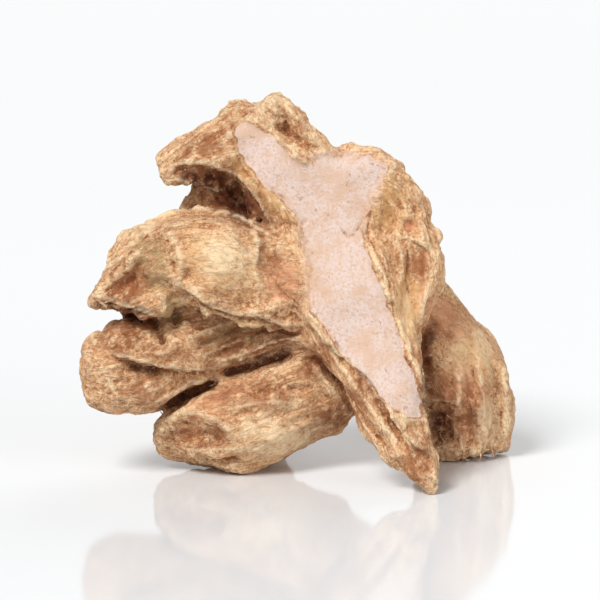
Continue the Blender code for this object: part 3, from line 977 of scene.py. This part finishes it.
def shrivel(piece, shape):
    """The broad forms: swellings, folds along the fingers and the large creases."""
    remesh(piece, shape.first_voxel)
    skin = Skin(piece)
    skin.relax(12)
    skin.points = pinched(skin.points)
    space = FingerSpace(skin)
    points = skin.points
    fold = shape.fold_height / MM
    heights = LUMP_HEIGHT * rough_noise(points / 10.0, 31, 2)
    heights += fold * space.crests(11, 17, 7.0, 0.5)
    heights += 0.40 * fold * space.crests(23, 10, 4.2, 0.5)
    tree = skin.tree()
    jitter = rough_noise(points / 3.1, 47, 2)
    sight, hidden = looked_at(tree, skin)
    covered = face_cover(skin, sight, jitter)[0]
    heights *= (1 - 0.85 * covered) * calmed(skin, sight, jitter)
    lift, drag, _, _ = mark_moves(skin, laid_marks(tree, BIG_MARKS), jitter)
    far_lift, far_drag, _, _ = mark_moves(skin, laid_marks(tree, hidden_marks()), jitter)
    heights += lift + np.clip(far_lift, CAVE_IN, STAND_OUT) * hidden
    drag += far_drag * hidden[:, None]
    for spot in (*SPOTS, *hidden_spots()):
        if spot.kind in ("pit", "swell"):
            sign = -1 if spot.kind == "pit" else 1
            heights += sign * spot.amount * spot_mask(skin, sight, spot, jitter)
    skin.points = skin.points + drag
    skin.push(heights, 8)
    skin.relax(1)
    remesh(piece, shape.last_voxel)


def face_cover(skin, sight, jitter):
    """The scraped faces: their cover of 0 to 1 and the signed gap to their edges."""
    covered = np.zeros(skin.count)
    gaps = np.full(skin.count, -50.0)
    for side, outline in (("front", FACE_OUTLINE), ("back", BACK_FACE_OUTLINE)):
        gap = gap_to_outline(seen_place(skin.points, side), outline) + 0.6 * jitter
        gap = np.where(sight[side] > 0.5, gap, -50)
        gaps = np.maximum(gaps, gap)
        covered = np.maximum(covered, rise(gap, -0.4, 0.5))
    return covered, gaps


def stain_masks(skin, sight, jitter, covered):
    """How strongly each kind of stain covers every point, 0 to 1."""
    masks = {}
    spots = (*SPOTS, *hidden_spots())
    for kind in STAINS:
        mask = np.zeros(skin.count)
        for spot in spots:
            if spot.kind == kind:
                mask = np.maximum(mask, spot.amount * spot_mask(skin, sight, spot, jitter))
        masks[kind] = mask
    crust = masks["crust"] + rise(rough_noise(skin.points / 8, 67, 2), 0.3, 0.8)
    masks["crust"] = np.clip(crust, 0, 1) * (1 - covered)
    return masks


def all_over(skin, space, shape, bare, covered, crust):
    """The heights of the wrinkles, crust and grain that cover the whole skin, in millimetres."""
    fine_fold = shape.wrinkle_height / MM
    crumple = rough_noise(skin.points / 1.9, 97, 2)
    grain = soft_noise(skin.points / 0.9, 103)
    heights = fine_fold * space.crests(71, 8, 2.2, 0.5) * bare
    heights += 0.5 * fine_fold * space.crests(83, 5.0, 1.15, 0.3) * bare
    heights += CRUST_HEIGHT * crumple * crust
    heights += CRUMPLE_HEIGHT * crumple * bare
    heights += GRAIN_HEIGHT * grain * (0.3 + 0.7 * bare)
    heights += FACE_SWELL_HEIGHT * rough_noise(skin.points / 2.4, 109, 2) * covered
    return heights


def wrinkle(piece, shape):
    """The finer forms, and the masks that the skin's colours are laid by."""
    skin = Skin(piece)
    skin.relax(2)
    tree = skin.tree()
    space = FingerSpace(skin)
    jitter = rough_noise(skin.points / 2.6, 47, 2)
    sight, hidden = looked_at(tree, skin)
    covered, gaps = face_cover(skin, sight, jitter)
    covered = skin.averaged(covered, 1)
    masks = stain_masks(skin, sight, jitter, covered)

    skin.relax(10, covered)
    fine = mark_moves(skin, laid_marks(tree, FINE_MARKS), 0.6 * jitter)
    near = mark_moves(skin, laid_marks(tree, sharper(BIG_MARKS)), 0.8 * jitter)
    far = mark_moves(skin, laid_marks(tree, sharper(hidden_marks())), 0.8 * jitter)
    # painted shade along cracks, grooves and under ledges; the fine cracks themselves are real
    masks["crack_and_shade"] = np.maximum(fine[2], 0.75 * np.maximum(near[2], far[2] * hidden))
    # pale crests: partly worn skin, partly painted highlight
    masks["crest"] = np.maximum(near[3], far[3] * hidden) * (1 - covered)
    masks["face_gap"] = np.clip(gaps, -3, 3)
    rim = np.exp(-((gaps + 0.9) / 0.8) ** 2) * rise(jitter, -0.6, 0.5)
    rim = np.where(gaps > -20, rim, 0) * (1 - masks["blend"])
    masks["rim"] = rim
    bare = (1 - covered) * (0.35 + 0.65 * calmed(skin, sight, jitter))
    heights = all_over(skin, space, shape, bare, covered, masks["crust"])
    heights -= shape.face_drop / MM * covered
    heights += RIM_HEIGHT * rim
    heights += fine[0] + near[0] + far[0] * hidden
    skin.push(heights, 2)
    skin.points[:, 2] = np.maximum(skin.points[:, 2], 0)
    skin.write()

    # how far each point lies below the surface round it; the shader darkens the hollows as painted shade
    # and lightens the crests, partly as painted highlight
    fine_hollow = np.clip(skin.hollows(4) / 0.16, -1, 1)
    mid_hollow = np.clip(skin.hollows(24) / 0.55, -1, 1)
    masks["hollow"] = fine_hollow * 0.4 + mid_hollow * 0.6
    masks["deep"] = rise(skin.hollows(110), 0.35, 1.8)
    masks["streak"] = 0.5 + 0.5 * space.noise(127, 12, 1.3, 2)
    masks["grain_hold"] = space.certain
    store(piece, masks, space.place)


def store(piece, masks, place):
    """Writes the masks and the place along the fingers into the mesh, for the materials."""
    for name, values in masks.items():
        attribute = piece.data.attributes.new(name, "FLOAT", "POINT")
        attribute.data.foreach_set("value", values.astype(np.float32))
    attribute = piece.data.attributes.new("grain_place", "FLOAT_VECTOR", "POINT")
    attribute.data.foreach_set("vector", place.astype(np.float32).ravel())
    piece.data.polygons.foreach_set("use_smooth", np.ones(len(piece.data.polygons), bool))
    piece.data.update()


# ---------------------------------------------------------------- fibres

# where fibres leave the skin, across and up in millimetres, and how long each is
FIBRE_ROOTS = (
    (29.6, 6.4, 2.6), (30.6, 5.2, 3.0), (32.0, 4.6, 2.6), (33.6, 4.9, 3.2), (34.8, 6.6, 2.6),
    (30.4, 12.2, 2.4), (33.4, 13.4, 2.8), (35.2, 10.5, 2.4), (33.0, 2.6, 3.0), (35.2, 2.2, 3.5),
    (37.0, 2.3, 3.0), (38.8, 2.6, 4.0), (41.2, 3.0, 3.0), (43.5, 3.4, 2.6), (-19.4, 18.9, 3.2),
    (-18.4, 19.8, 2.6), (-43.6, 38.0, 2.4), (-40.2, 36.9, 2.6), (-26.0, 66.6, 2.2), (26.0, -3.4, 2.2),
    (-30.8, 12.0, 2.2), (-31.4, 5.5, 2.0), (27.4, 12.6, 2.6), (-5.6, 53.4, 2.0),
)


def fibre_path(tree, root, random):
    """A thin fibre's points: it starts under the skin, leaves it and curls down."""
    right, up, look = SIDES["front"]
    start = Vector(right * root[0] + up * root[1] - look * FAR_OFF)
    place, normal, _, _ = tree.ray_cast(start, Vector(look))
    if place is None:
        return None
    ahead = normal + Vector(random.normal(0, 0.45, 3))
    ahead.normalize()
    curl = Vector(random.normal(0, 1, 3)) * 0.35 + Vector((0, 0, -0.22))
    step = root[2] / 14
    point = place - normal * 0.7
    path = []
    for _ in range(16):
        path.append(point.copy())
        point = point + ahead * step
        point.z = max(point.z, 0.12)
        ahead = (ahead + curl * step).normalized()
        curl.rotate(Euler((0.25, 0.18, 0.1)))
    return np.array(path)


def build_fibres(skin_piece, sizes):
    """All the fibres as one mesh of thin tapered tubes."""
    tree = Skin(skin_piece).tree()
    random = np.random.default_rng(sizes.seed)
    work = bmesh.new()
    for root in FIBRE_ROOTS:
        for _ in range(sizes.strands):
            shifted = (root[0] + random.normal(0, 0.35), root[1] + random.normal(0, 0.3), root[2])
            path = fibre_path(tree, shifted, random)
            if path is not None:
                thick = sizes.thickness / MM * random.uniform(0.7, 1.3) / 2
                half = thick * np.linspace(1.0, 0.45, len(path))
                add_tube(work, path, half, 6)
    mesh = bpy.data.meshes.new("root_fibres")
    work.to_mesh(mesh)
    work.free()
    mesh.polygons.foreach_set("use_smooth", np.ones(len(mesh.polygons), bool))
    piece = bpy.data.objects.new("root_fibres", mesh)
    bpy.context.scene.collection.objects.link(piece)
    return piece


# ---------------------------------------------------------------- shader nodes


def tone(red, green, blue):
    """A colour of 0 to 255 as the linear colour that shaders use."""
    linear = []
    for value in (red, green, blue):
        value = value / 255
        linear.append(value / 12.92 if value <= 0.04045 else ((value + 0.055) / 1.055) ** 2.4)
    return tuple(linear)


class Nodes:
    """Adds nodes to a tree, each linked or set by name."""

    def __init__(self, tree):
        self.tree = tree
        self.placed = 0

    def feed(self, socket, source):
        """Links a socket to another node, or sets its value."""
        if isinstance(source, bpy.types.NodeSocket):
            self.tree.links.new(source, socket)
        elif socket.type == "RGBA":
            socket.default_value = (*tuple(source)[:3], 1.0)
        else:
            socket.default_value = source

    def add(self, kind, sources=(), **settings):
        """A new node with its settings, and with its inputs fed."""
        node = self.tree.nodes.new(kind)
        node.location = (self.placed % 8 * 220, -(self.placed // 8) * 260)
        self.placed += 1
        for name, value in settings.items():
            setattr(node, name, value)
        for name, source in dict(sources).items():
            self.feed(node.inputs[name], source)
        return node

    def group(self, name, maker, sources):
        """A shared group, which is built on first use."""
        tree = bpy.data.node_groups.get(name) or maker()
        return self.add("ShaderNodeGroup", sources, node_tree=tree).outputs

    def math(self, operation, one, two=0.0):
        return self.add("ShaderNodeMath", {0: one, 1: two}, operation=operation).outputs[0]

    def times(self, one, two):
        return self.math("MULTIPLY", one, two)

    def plus(self, one, two):
        return self.math("ADD", one, two)

    def minus(self, one, two):
        return self.math("SUBTRACT", one, two)

    def ramp(self, value, low, high):
        """0 to 1 as the value goes from low to high, smoothly."""
        sources = {"Value": value, "From Min": low, "From Max": high}
        node = self.add("ShaderNodeMapRange", sources, interpolation_type="SMOOTHSTEP")
        return node.outputs["Result"]

    def mix(self, share, one, two):
        """The second colour over the first."""
        node = self.add("ShaderNodeMix", {0: share, 6: one, 7: two}, data_type="RGBA")
        return node.outputs[2]

    def lay(self, color, mask, amount, stain):
        """A stain over a colour, as strong as a mask and an amount say."""
        return self.mix(self.times(mask, amount), color, stain)

    def noise(self, vector, scale, detail=3.0, roughness=0.55, distortion=0.0):
        sources = {"Vector": vector, "Scale": scale, "Detail": detail, "Roughness": roughness,
                   "Distortion": distortion}
        return self.add("ShaderNodeTexNoise", sources).outputs["Fac"]

    def attribute(self, name, output="Fac"):
        return self.add("ShaderNodeAttribute", attribute_name=name).outputs[output]

    def stretched(self, vector, size):
        """The vector divided by a size in each direction."""
        node = self.add("ShaderNodeVectorMath", {0: vector, 1: size}, operation="DIVIDE")
        return node.outputs[0]

    def place_in_mm(self):
        """The surface point in millimetres, from the piece's own coordinates."""
        where = self.add("ShaderNodeTexCoord").outputs["Object"]
        node = self.add("ShaderNodeVectorMath", {0: where, "Scale": 1 / MM}, operation="SCALE")
        return node.outputs[0]


def node_group(name, inputs, outputs):
    """A new group with named sockets; gives its tree, its input node and its output node."""
    group = bpy.data.node_groups.new(name, "ShaderNodeTree")
    kinds = {"color": "NodeSocketColor", "value": "NodeSocketFloat", "vector": "NodeSocketVector"}
    for title, kind in inputs:
        group.interface.new_socket(title, in_out="INPUT", socket_type=kinds[kind])
    for title, kind in outputs:
        group.interface.new_socket(title, in_out="OUTPUT", socket_type=kinds[kind])
    nodes = Nodes(group)
    start = nodes.add("NodeGroupInput")
    end = nodes.add("NodeGroupOutput")
    return group, nodes, start.outputs, end.inputs


def skin_tone_group():
    """Golden skin with painted shade, brown and dark brown, in hollows and deep creases, and cream on
    crests that is partly worn skin and partly painted highlight, with grain and short streaks.
    """
    inputs = [(n, "vector") for n in ("Place", "Grain Place")]
    inputs += [(n, "value") for n in ("Grain Hold", "Hollow", "Deep", "Streak", "Crust")]
    inputs += [(n, "color") for n in ("Golden", "Cream", "Brown", "Dark Brown")]
    group, nodes, given, out = node_group(
        "Dried Skin Tone", inputs, [("Color", "color"), ("Height", "value"), ("Grain", "value")]
    )
    place = given["Place"]
    mottle = nodes.noise(place, 0.22, 4, 0.65)
    patches = nodes.noise(place, 0.09, 3, 0.6)
    specks = nodes.noise(place, 1.35, 3, 0.8)
    lines = nodes.noise(nodes.stretched(given["Grain Place"], (5.0, 0.8, 0.8)), 1.0, 3, 0.65)
    held = nodes.times(nodes.minus(lines, 0.5), given["Grain Hold"])
    # pale streaks, and cream on crests: partly worn skin, partly painted highlight
    streak = nodes.plus(held, nodes.times(given["Streak"], 0.5))
    pale = nodes.ramp(nodes.plus(streak, mottle), 0.65, 1.1)
    color = nodes.lay(given["Golden"], pale, 0.55, given["Cream"])
    crest = nodes.ramp(given["Hollow"], -0.1, -0.8)
    color = nodes.lay(color, crest, 0.65, given["Cream"])
    # brown patches, and painted shade in hollows and deep creases
    worn = nodes.ramp(nodes.plus(patches, nodes.times(held, 0.4)), 0.5, 0.7)
    color = nodes.lay(color, worn, 0.45, given["Brown"])
    low = nodes.times(nodes.minus(specks, 0.5), 1.2)
    low = nodes.ramp(nodes.plus(given["Hollow"], low), 0.1, 0.8)
    color = nodes.lay(color, low, 0.7, given["Brown"])
    # painted shade: dark brown in the deepest creases
    deep = nodes.ramp(nodes.plus(given["Deep"], nodes.times(held, 0.5)), 0.2, 0.9)
    color = nodes.lay(color, deep, 0.8, given["Dark Brown"])
    # hair lines along the fingers
    hair = nodes.noise(nodes.stretched(given["Grain Place"], (4.0, 1.1, 1.1)), 1.0, 3, 0.55, 0.6)
    hair = nodes.math("ABSOLUTE", nodes.minus(hair, 0.5))
    hair = nodes.times(nodes.ramp(hair, 0.035, 0.004), given["Grain Hold"])
    color = nodes.lay(color, hair, 0.45, given["Brown"])
    # dark and light grain
    strength = nodes.plus(nodes.times(given["Crust"], 0.3), 0.55)
    color = nodes.lay(color, nodes.ramp(specks, 0.53, 0.64), strength, given["Brown"])
    color = nodes.lay(color, nodes.ramp(specks, 0.46, 0.36), 0.6, given["Cream"])
    height = nodes.minus(nodes.times(held, 0.8), nodes.times(specks, 1.3))
    nodes.feed(out["Color"], color)
    nodes.feed(out["Height"], nodes.minus(height, nodes.times(hair, 0.35)))
    nodes.feed(out["Grain"], specks)
    return group


def stain_group():
    """Lays one stain colour over another colour where a mask and a broken noise agree."""
    inputs = [("Color", "color"), ("Stain", "color"), ("Mask", "value"), ("Place", "vector"),
              ("Size", "value")]
    group, nodes, given, out = node_group("Broken Stain", inputs, [("Color", "color")])
    broken = nodes.noise(given["Place"], given["Size"], 5, 0.7)
    mask = nodes.times(given["Mask"], nodes.ramp(broken, 0.34, 0.56))
    nodes.feed(out["Color"], nodes.mix(mask, given["Color"], given["Stain"]))
    return group


def scraped_group():
    """The pale starchy face: warm clouds, faint long lines, mealy grain and brown fibre ends, and a warmer
    painted shade in its hollows.
    """
    inputs = [("Place", "vector"), ("Grain Place", "vector"), ("Grain Hold", "value"),
              ("Hollow", "value"), ("Pale", "color"), ("Warm", "color"), ("Fibre", "color")]
    group, nodes, given, out = node_group(
        "Scraped Face", inputs, [("Color", "color"), ("Height", "value")]
    )
    place, along = given["Place"], given["Grain Place"]
    cloud = nodes.ramp(nodes.noise(place, 0.15, 4, 0.65), 0.46, 0.66)
    color = nodes.lay(given["Pale"], cloud, 0.9, given["Warm"])
    lines = nodes.noise(nodes.stretched(along, (7.0, 0.8, 0.8)), 1.0, 3, 0.6)
    lines = nodes.times(nodes.ramp(lines, 0.52, 0.72), given["Grain Hold"])
    color = nodes.lay(color, lines, 0.35, given["Warm"])
    meal = nodes.noise(place, 1.5, 3, 0.8)
    color = nodes.mix(nodes.ramp(meal, 0.49, 0.60), color, given["Warm"])
    ends = nodes.noise(nodes.stretched(along, (1.5, 1.0, 1.0)), 1.1, 4, 0.75)
    groups = nodes.noise(place, 0.2, 3, 0.6)
    fleck = nodes.times(nodes.ramp(ends, 0.56, 0.70), nodes.ramp(groups, 0.45, 0.62))
    fleck = nodes.times(fleck, given["Grain Hold"])
    color = nodes.lay(color, fleck, 0.65, given["Fibre"])
    # painted shade: the warm colour in the face's hollows
    color = nodes.lay(color, nodes.ramp(given["Hollow"], 0.15, 0.8), 0.5, given["Warm"])
    nodes.feed(out["Color"], color)
    nodes.feed(out["Height"], nodes.times(nodes.plus(fleck, nodes.times(meal, 2.4)), -0.35))
    return group


def stained(nodes, color, name, stain, size, place):
    """A colour with one of the skin's stain masks laid over it."""
    sources = {"Color": color, "Stain": stain, "Mask": nodes.attribute(name), "Place": place,
               "Size": size}
    return nodes.group("Broken Stain", stain_group, sources)["Color"]


def face_edge(nodes, place):
    """How far the scraped face covers the skin, and the thin brown border round it."""
    blend = nodes.attribute("blend")
    uneven = nodes.minus(nodes.noise(place, 0.9, 4, 0.75), 0.5)
    uneven = nodes.times(uneven, nodes.plus(nodes.times(blend, 4.6), 0.7))
    gap = nodes.plus(nodes.attribute("face_gap"), uneven)
    crisp = nodes.ramp(gap, -0.1, 0.14)
    soft = nodes.ramp(gap, -2.2, 2.0)
    scraped = nodes.plus(crisp, nodes.times(nodes.minus(soft, crisp), blend))
    border = nodes.times(nodes.ramp(gap, -0.5, -0.2), nodes.ramp(gap, 0.12, -0.08))
    return scraped, nodes.times(border, nodes.minus(1.0, blend))


def dried_skin_material(colours):
    """The whole skin: dried tones, stains, the scraped face, roughness and bump."""
    material, nodes = empty_material("dried_skin")
    place = nodes.place_in_mm()
    shared = {"Place": place, "Grain Place": nodes.attribute("grain_place", "Vector"),
              "Grain Hold": nodes.attribute("grain_hold"), "Hollow": nodes.attribute("hollow")}
    skin = nodes.group("Dried Skin Tone", skin_tone_group, {
        **shared, "Deep": nodes.attribute("deep"), "Streak": nodes.attribute("streak"),
        "Crust": nodes.attribute("crust"), "Golden": colours.golden, "Cream": colours.cream,
        "Brown": colours.brown, "Dark Brown": colours.dark_brown,
    })
    color = skin["Color"]
    # the dark stain and part of the brown stain are painted shade in pits, grooves and under overhangs; the
    # rest are real stains
    stains = (("ochre", colours.ochre, 0.35), ("grey", colours.grey, 0.3),
              ("pink", colours.pink, 0.4), ("brown", colours.brown, 0.35),
              ("pale", colours.cream, 0.4), ("dark", colours.dark_brown, 0.4))
    for name, stain, size in stains:
        color = stained(nodes, color, name, stain, size, place)
    face = nodes.group("Scraped Face", scraped_group, {
        **shared, "Pale": colours.pale_face, "Warm": colours.warm_face, "Fibre": colours.fibre,
    })
    scraped, border = face_edge(nodes, place)
    face_color = stained(nodes, face["Color"], "warm", colours.warm_face, 0.3, place)
    color = nodes.mix(scraped, color, face_color)
    color = nodes.lay(color, nodes.attribute("rim"), 0.35, colours.cream)
    broken = nodes.noise(place, 0.45, 3, 0.6)
    border = nodes.times(border, nodes.ramp(broken, 0.40, 0.6))
    color = nodes.lay(color, border, 0.6, colours.brown)
    # cream along crests and ledge edges: partly worn skin, partly painted highlight
    crest = nodes.times(nodes.attribute("crest"), nodes.ramp(broken, 0.34, 0.56))
    color = nodes.lay(color, crest, 0.8, colours.cream)
    # painted shade: brown and dark brown along cracks, grooves and under ledges; the fine cracks themselves
    # are real
    crack_and_shade = nodes.times(nodes.attribute("crack_and_shade"), nodes.ramp(broken, 0.38, 0.62))
    crack_and_shade = nodes.plus(crack_and_shade, nodes.times(skin["Grain"], 0.3))
    color = nodes.lay(color, nodes.ramp(crack_and_shade, 0.3, 0.85), 0.6, colours.brown)
    color = nodes.lay(color, nodes.ramp(crack_and_shade, 0.75, 1.15), 0.7, colours.dark_brown)
    heights = {0: scraped, 2: skin["Height"], 3: face["Height"]}
    height = nodes.add("ShaderNodeMix", heights, data_type="FLOAT").outputs[0]
    rough = nodes.plus(nodes.times(nodes.ramp(skin["Grain"], 0.2, 0.8), 0.18), 0.72)
    end_material(nodes, color, rough, height, 0.9, 0.45 * MM, 0.32)
    return material


def empty_material(name):
    """A new material without nodes, and what adds them."""
    material = bpy.data.materials.new(name)
    material.use_nodes = True
    material.node_tree.nodes.clear()
    return material, Nodes(material.node_tree)


def end_material(nodes, color, rough, height, strength, distance, specular):
    """The bump, the shader and the output that every material ends with."""
    bump = nodes.add("ShaderNodeBump", {"Height": height, "Strength": strength, "Distance": distance})
    shader = nodes.add("ShaderNodeBsdfPrincipled", {
        "Base Color": color, "Roughness": rough, "Normal": bump.outputs["Normal"],
        "IOR": 1.45, "Specular IOR Level": specular,
    })
    nodes.add("ShaderNodeOutputMaterial", {"Surface": shader.outputs[0]})


def fibre_material(colours):
    """Dry straw-coloured fibres with browner stretches."""
    material, nodes = empty_material("root_fibre")
    place = nodes.place_in_mm()
    layer = nodes.group("Broken Stain", stain_group, {
        "Color": colours.cream, "Stain": colours.brown, "Mask": 0.8, "Place": place, "Size": 0.7,
    })
    grain = nodes.noise(place, 6.0, 3, 0.7)
    rough = nodes.plus(nodes.times(grain, 0.2), 0.62)
    end_material(nodes, layer["Color"], rough, grain, 0.5, 0.04 * MM, 0.35)
    return material


# ---------------------------------------------------------------- settings


def colour(name, description, value):
    """A colour setting."""
    return bpy.props.FloatVectorProperty(
        name=name, description=description, default=value, size=3, min=0, max=1, subtype="COLOR"
    )


def length(name, description, value):
    """A length setting, in metres."""
    return bpy.props.FloatProperty(
        name=name, description=description, default=value, min=0, precision=5,
        subtype="DISTANCE", unit="LENGTH"
    )


class GingerShape(bpy.types.PropertyGroup):
    """Sizes of the skin's folds and of the mesh that carries them."""

    first_voxel: length("First Mesh Step", "Mesh step while the broad folds are made", 0.00060)
    last_voxel: length("Last Mesh Step", "Mesh step of the finished skin", 0.00050)
    fold_height: length("Fold Height", "Height of the broad folds along each finger", 0.0013)
    wrinkle_height: length("Wrinkle Height", "Height of the small wrinkles", 0.00042)
    face_drop: length("Face Depth", "How far the scraped face lies under the skin", 0.00035)


class GingerFibres(bpy.types.PropertyGroup):
    """Sizes of the loose fibres at the broken ends."""

    strands: bpy.props.IntProperty(
        name="Strands", description="Fibres at each place", default=2, min=1, max=6
    )
    thickness: length("Thickness", "Width of a fibre where it leaves the skin", 0.00034)
    seed: bpy.props.IntProperty(name="Seed", description="Changes how the fibres curl", default=4)


class GingerColours(bpy.types.PropertyGroup):
    """Colours of the dried skin and of the scraped face."""

    golden: colour("Golden", "Most of the skin", tone(216, 164, 118))
    # cream is also the painted highlight on crests, beside the worn skin and pale streaks
    cream: colour("Cream", "Worn crests and pale streaks", tone(249, 221, 180))
    # brown is also the painted shade in hollows, grooves and pits, beside the real stains
    brown: colour("Brown", "Hollows and stains", tone(150, 90, 52))
    # dark brown is painted shade in the deepest creases, grooves and pits
    dark_brown: colour("Dark Brown", "The deepest creases", tone(84, 40, 20))
    ochre: colour("Ochre", "Warm yellow places", tone(226, 176, 118))
    grey: colour("Grey Green", "Dull facets of the palm", tone(180, 150, 106))
    pink: colour("Pink", "Rough pinkish places", tone(222, 158, 118))
    pale_face: colour("Pale Face", "The scraped starchy face", tone(216, 195, 185))
    warm_face: colour("Warm Face", "Clouds on the scraped face", tone(207, 173, 149))
    fibre: colour("Fibre Ends", "Small fibre ends in the scraped face", tone(164, 120, 90))


class GingerStage(bpy.types.PropertyGroup):
    """The floor, the lights and the camera."""

    floor_size: length("Floor Size", "Side of the square floor", 6.0)
    floor_colour: colour("Floor Colour", "Colour of the floor", (0.73, 0.74, 0.75))
    camera_distance: length("Camera Distance", "From the root's middle to the camera", 0.9)
    lens: bpy.props.FloatProperty(
        name="Lens", description="Focal length", default=240, min=10, subtype="DISTANCE_CAMERA"
    )
    key_strength: bpy.props.FloatProperty(
        name="Key Light", description="Strength of the large soft light", default=3.0, min=0
    )
    back_strength: bpy.props.FloatProperty(
        name="Back Light", description="Strength of the soft light from behind", default=0.7, min=0
    )
    fill_power: bpy.props.FloatProperty(
        name="Fill Light", description="Power of the weak light", default=1.8, min=0, unit="POWER"
    )
    room_strength: bpy.props.FloatProperty(
        name="Room Light", description="Strength of the light from all around", default=0.38, min=0
    )


# ---------------------------------------------------------------- operators


class GINGER_OT_skin(bpy.types.Operator):
    """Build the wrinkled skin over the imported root"""

    bl_idname = "ginger.skin"
    bl_label = "Build Skin"

    def execute(self, context):
        piece = copied_root()
        shrivel(piece, context.scene.ginger_shape)
        wrinkle(piece, context.scene.ginger_shape)
        if len(piece.data.polygons) < FEWEST_FACES:
            raise RuntimeError("the skin came out empty")
        piece.data.materials.append(dried_skin_material(context.scene.ginger_colours))
        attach(piece, ROOT_BODY)
        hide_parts(ROOT_NODE)
        return {"FINISHED"}


class GINGER_OT_fibres(bpy.types.Operator):
    """Add the loose fibres at the broken foot and along the creases"""

    bl_idname = "ginger.fibres"
    bl_label = "Build Fibres"

    def execute(self, context):
        skin = bpy.data.objects.get("ginger_skin")
        if skin is None:
            raise RuntimeError("build the skin before the fibres")
        piece = build_fibres(skin, context.scene.ginger_fibres)
        piece.data.materials.append(fibre_material(context.scene.ginger_colours))
        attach(piece, ROOT_BODY)
        return {"FINISHED"}


class GINGER_OT_stage(bpy.types.Operator):
    """Add a plain floor, soft lights and the camera"""

    bl_idname = "ginger.stage"
    bl_label = "Build Stage"

    def execute(self, context):
        stage = context.scene.ginger_stage
        lay_floor(stage)
        hang_lights(stage)
        place_camera(stage)
        return {"FINISHED"}


def lay_floor(stage):
    """One large plain floor under the root."""
    half = stage.floor_size / 2
    mesh = bpy.data.meshes.new("floor")
    corners = [(-half, -half, 0), (half, -half, 0), (half, half, 0), (-half, half, 0)]
    mesh.from_pydata(corners, [], [(0, 1, 2, 3)])
    floor = bpy.data.objects.new("floor", mesh)
    bpy.context.scene.collection.objects.link(floor)
    material = bpy.data.materials.new("floor")
    material.use_nodes = True
    shader = material.node_tree.nodes["Principled BSDF"]
    shader.inputs["Base Color"].default_value = (*stage.floor_colour, 1)
    shader.inputs["Roughness"].default_value = 0.09
    mesh.materials.append(material)


def hang_lights(stage):
    """A white room, one large soft light high on the front left and a weak one on the right."""
    scene = bpy.context.scene
    world = bpy.data.worlds.new("room")
    scene.world = world
    world.use_nodes = True
    nodes = Nodes(world.node_tree)
    background = world.node_tree.nodes["Background"]
    background.inputs["Color"].default_value = (1, 1, 1, 1)
    path = nodes.add("ShaderNodeLightPath").outputs
    seen = nodes.math("MAXIMUM", path["Is Camera Ray"], path["Is Glossy Ray"])
    strength = nodes.plus(nodes.times(seen, 1 - stage.room_strength), stage.room_strength)
    nodes.feed(background.inputs["Strength"], strength)
    key = bpy.data.lights.new("key", "SUN")
    key.energy = stage.key_strength
    key.angle = math.radians(22)
    back = bpy.data.lights.new("back", "SUN")
    back.energy = stage.back_strength
    back.angle = math.radians(40)
    fill = bpy.data.lights.new("fill", "AREA")
    fill.energy = stage.fill_power
    fill.size = 0.5
    places = ((key, (-0.34, -0.44, 0.70)), (back, (0.4, 0.6, 0.55)), (fill, (0.6, -0.5, 0.3)))
    for data, place in places:
        light = bpy.data.objects.new(data.name, data)
        light.location = place
        aim = Vector((0, 0, 0.035)) - Vector(place)
        light.rotation_euler = aim.to_track_quat("-Z", "Y").to_euler()
        scene.collection.objects.link(light)
    scene.view_settings.view_transform = "Standard"


def place_camera(stage):
    """The camera looks straight at the front from twelve degrees above."""
    low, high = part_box(ROOT_NODE)
    middle = (low + high) / 2 - Vector((0, 0, 0.004))
    back = Vector((0, -math.cos(VIEW_TILT), math.sin(VIEW_TILT)))
    data = bpy.data.cameras.new("camera")
    data.lens = stage.lens
    data.clip_start = 0.05
    camera = bpy.data.objects.new("camera", data)
    camera.location = middle + back * stage.camera_distance
    camera.rotation_euler = (-back).to_track_quat("-Z", "Y").to_euler()
    bpy.context.scene.collection.objects.link(camera)
    bpy.context.scene.camera = camera


class GINGER_PT_panel(bpy.types.Panel):
    """The buttons in the sidebar."""

    bl_label = "Dried Ginger Root"
    bl_idname = "GINGER_PT_panel"
    bl_space_type = "VIEW_3D"
    bl_region_type = "UI"
    bl_category = "Ginger"

    def draw(self, context):
        for operator in OPERATORS:
            self.layout.operator(operator.bl_idname)
        for name in SETTINGS:
            group = getattr(context.scene, name)
            for key in group.bl_rna.properties.keys():
                if key not in ("rna_type", "name"):
                    self.layout.prop(group, key)


OPERATORS = (GINGER_OT_skin, GINGER_OT_fibres, GINGER_OT_stage)
SETTINGS = {
    "ginger_shape": GingerShape,
    "ginger_fibres": GingerFibres,
    "ginger_colours": GingerColours,
    "ginger_stage": GingerStage,
}
CLASSES = (*SETTINGS.values(), *OPERATORS, GINGER_PT_panel)


def register():
    """Adds the classes and their settings to Blender."""
    for item in CLASSES:
        bpy.utils.register_class(item)
    for name, group in SETTINGS.items():
        setattr(bpy.types.Scene, name, bpy.props.PointerProperty(type=group))


def unregister():
    """Takes the classes and their settings out again."""
    for name in SETTINGS:
        delattr(bpy.types.Scene, name)
    for item in reversed(CLASSES):
        bpy.utils.unregister_class(item)


def main():
    """Registers the add-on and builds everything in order."""
    register()
    bpy.ops.ginger.skin()
    bpy.ops.ginger.fibres()
    bpy.ops.ginger.stage()


if __name__ == "__main__":
    main()
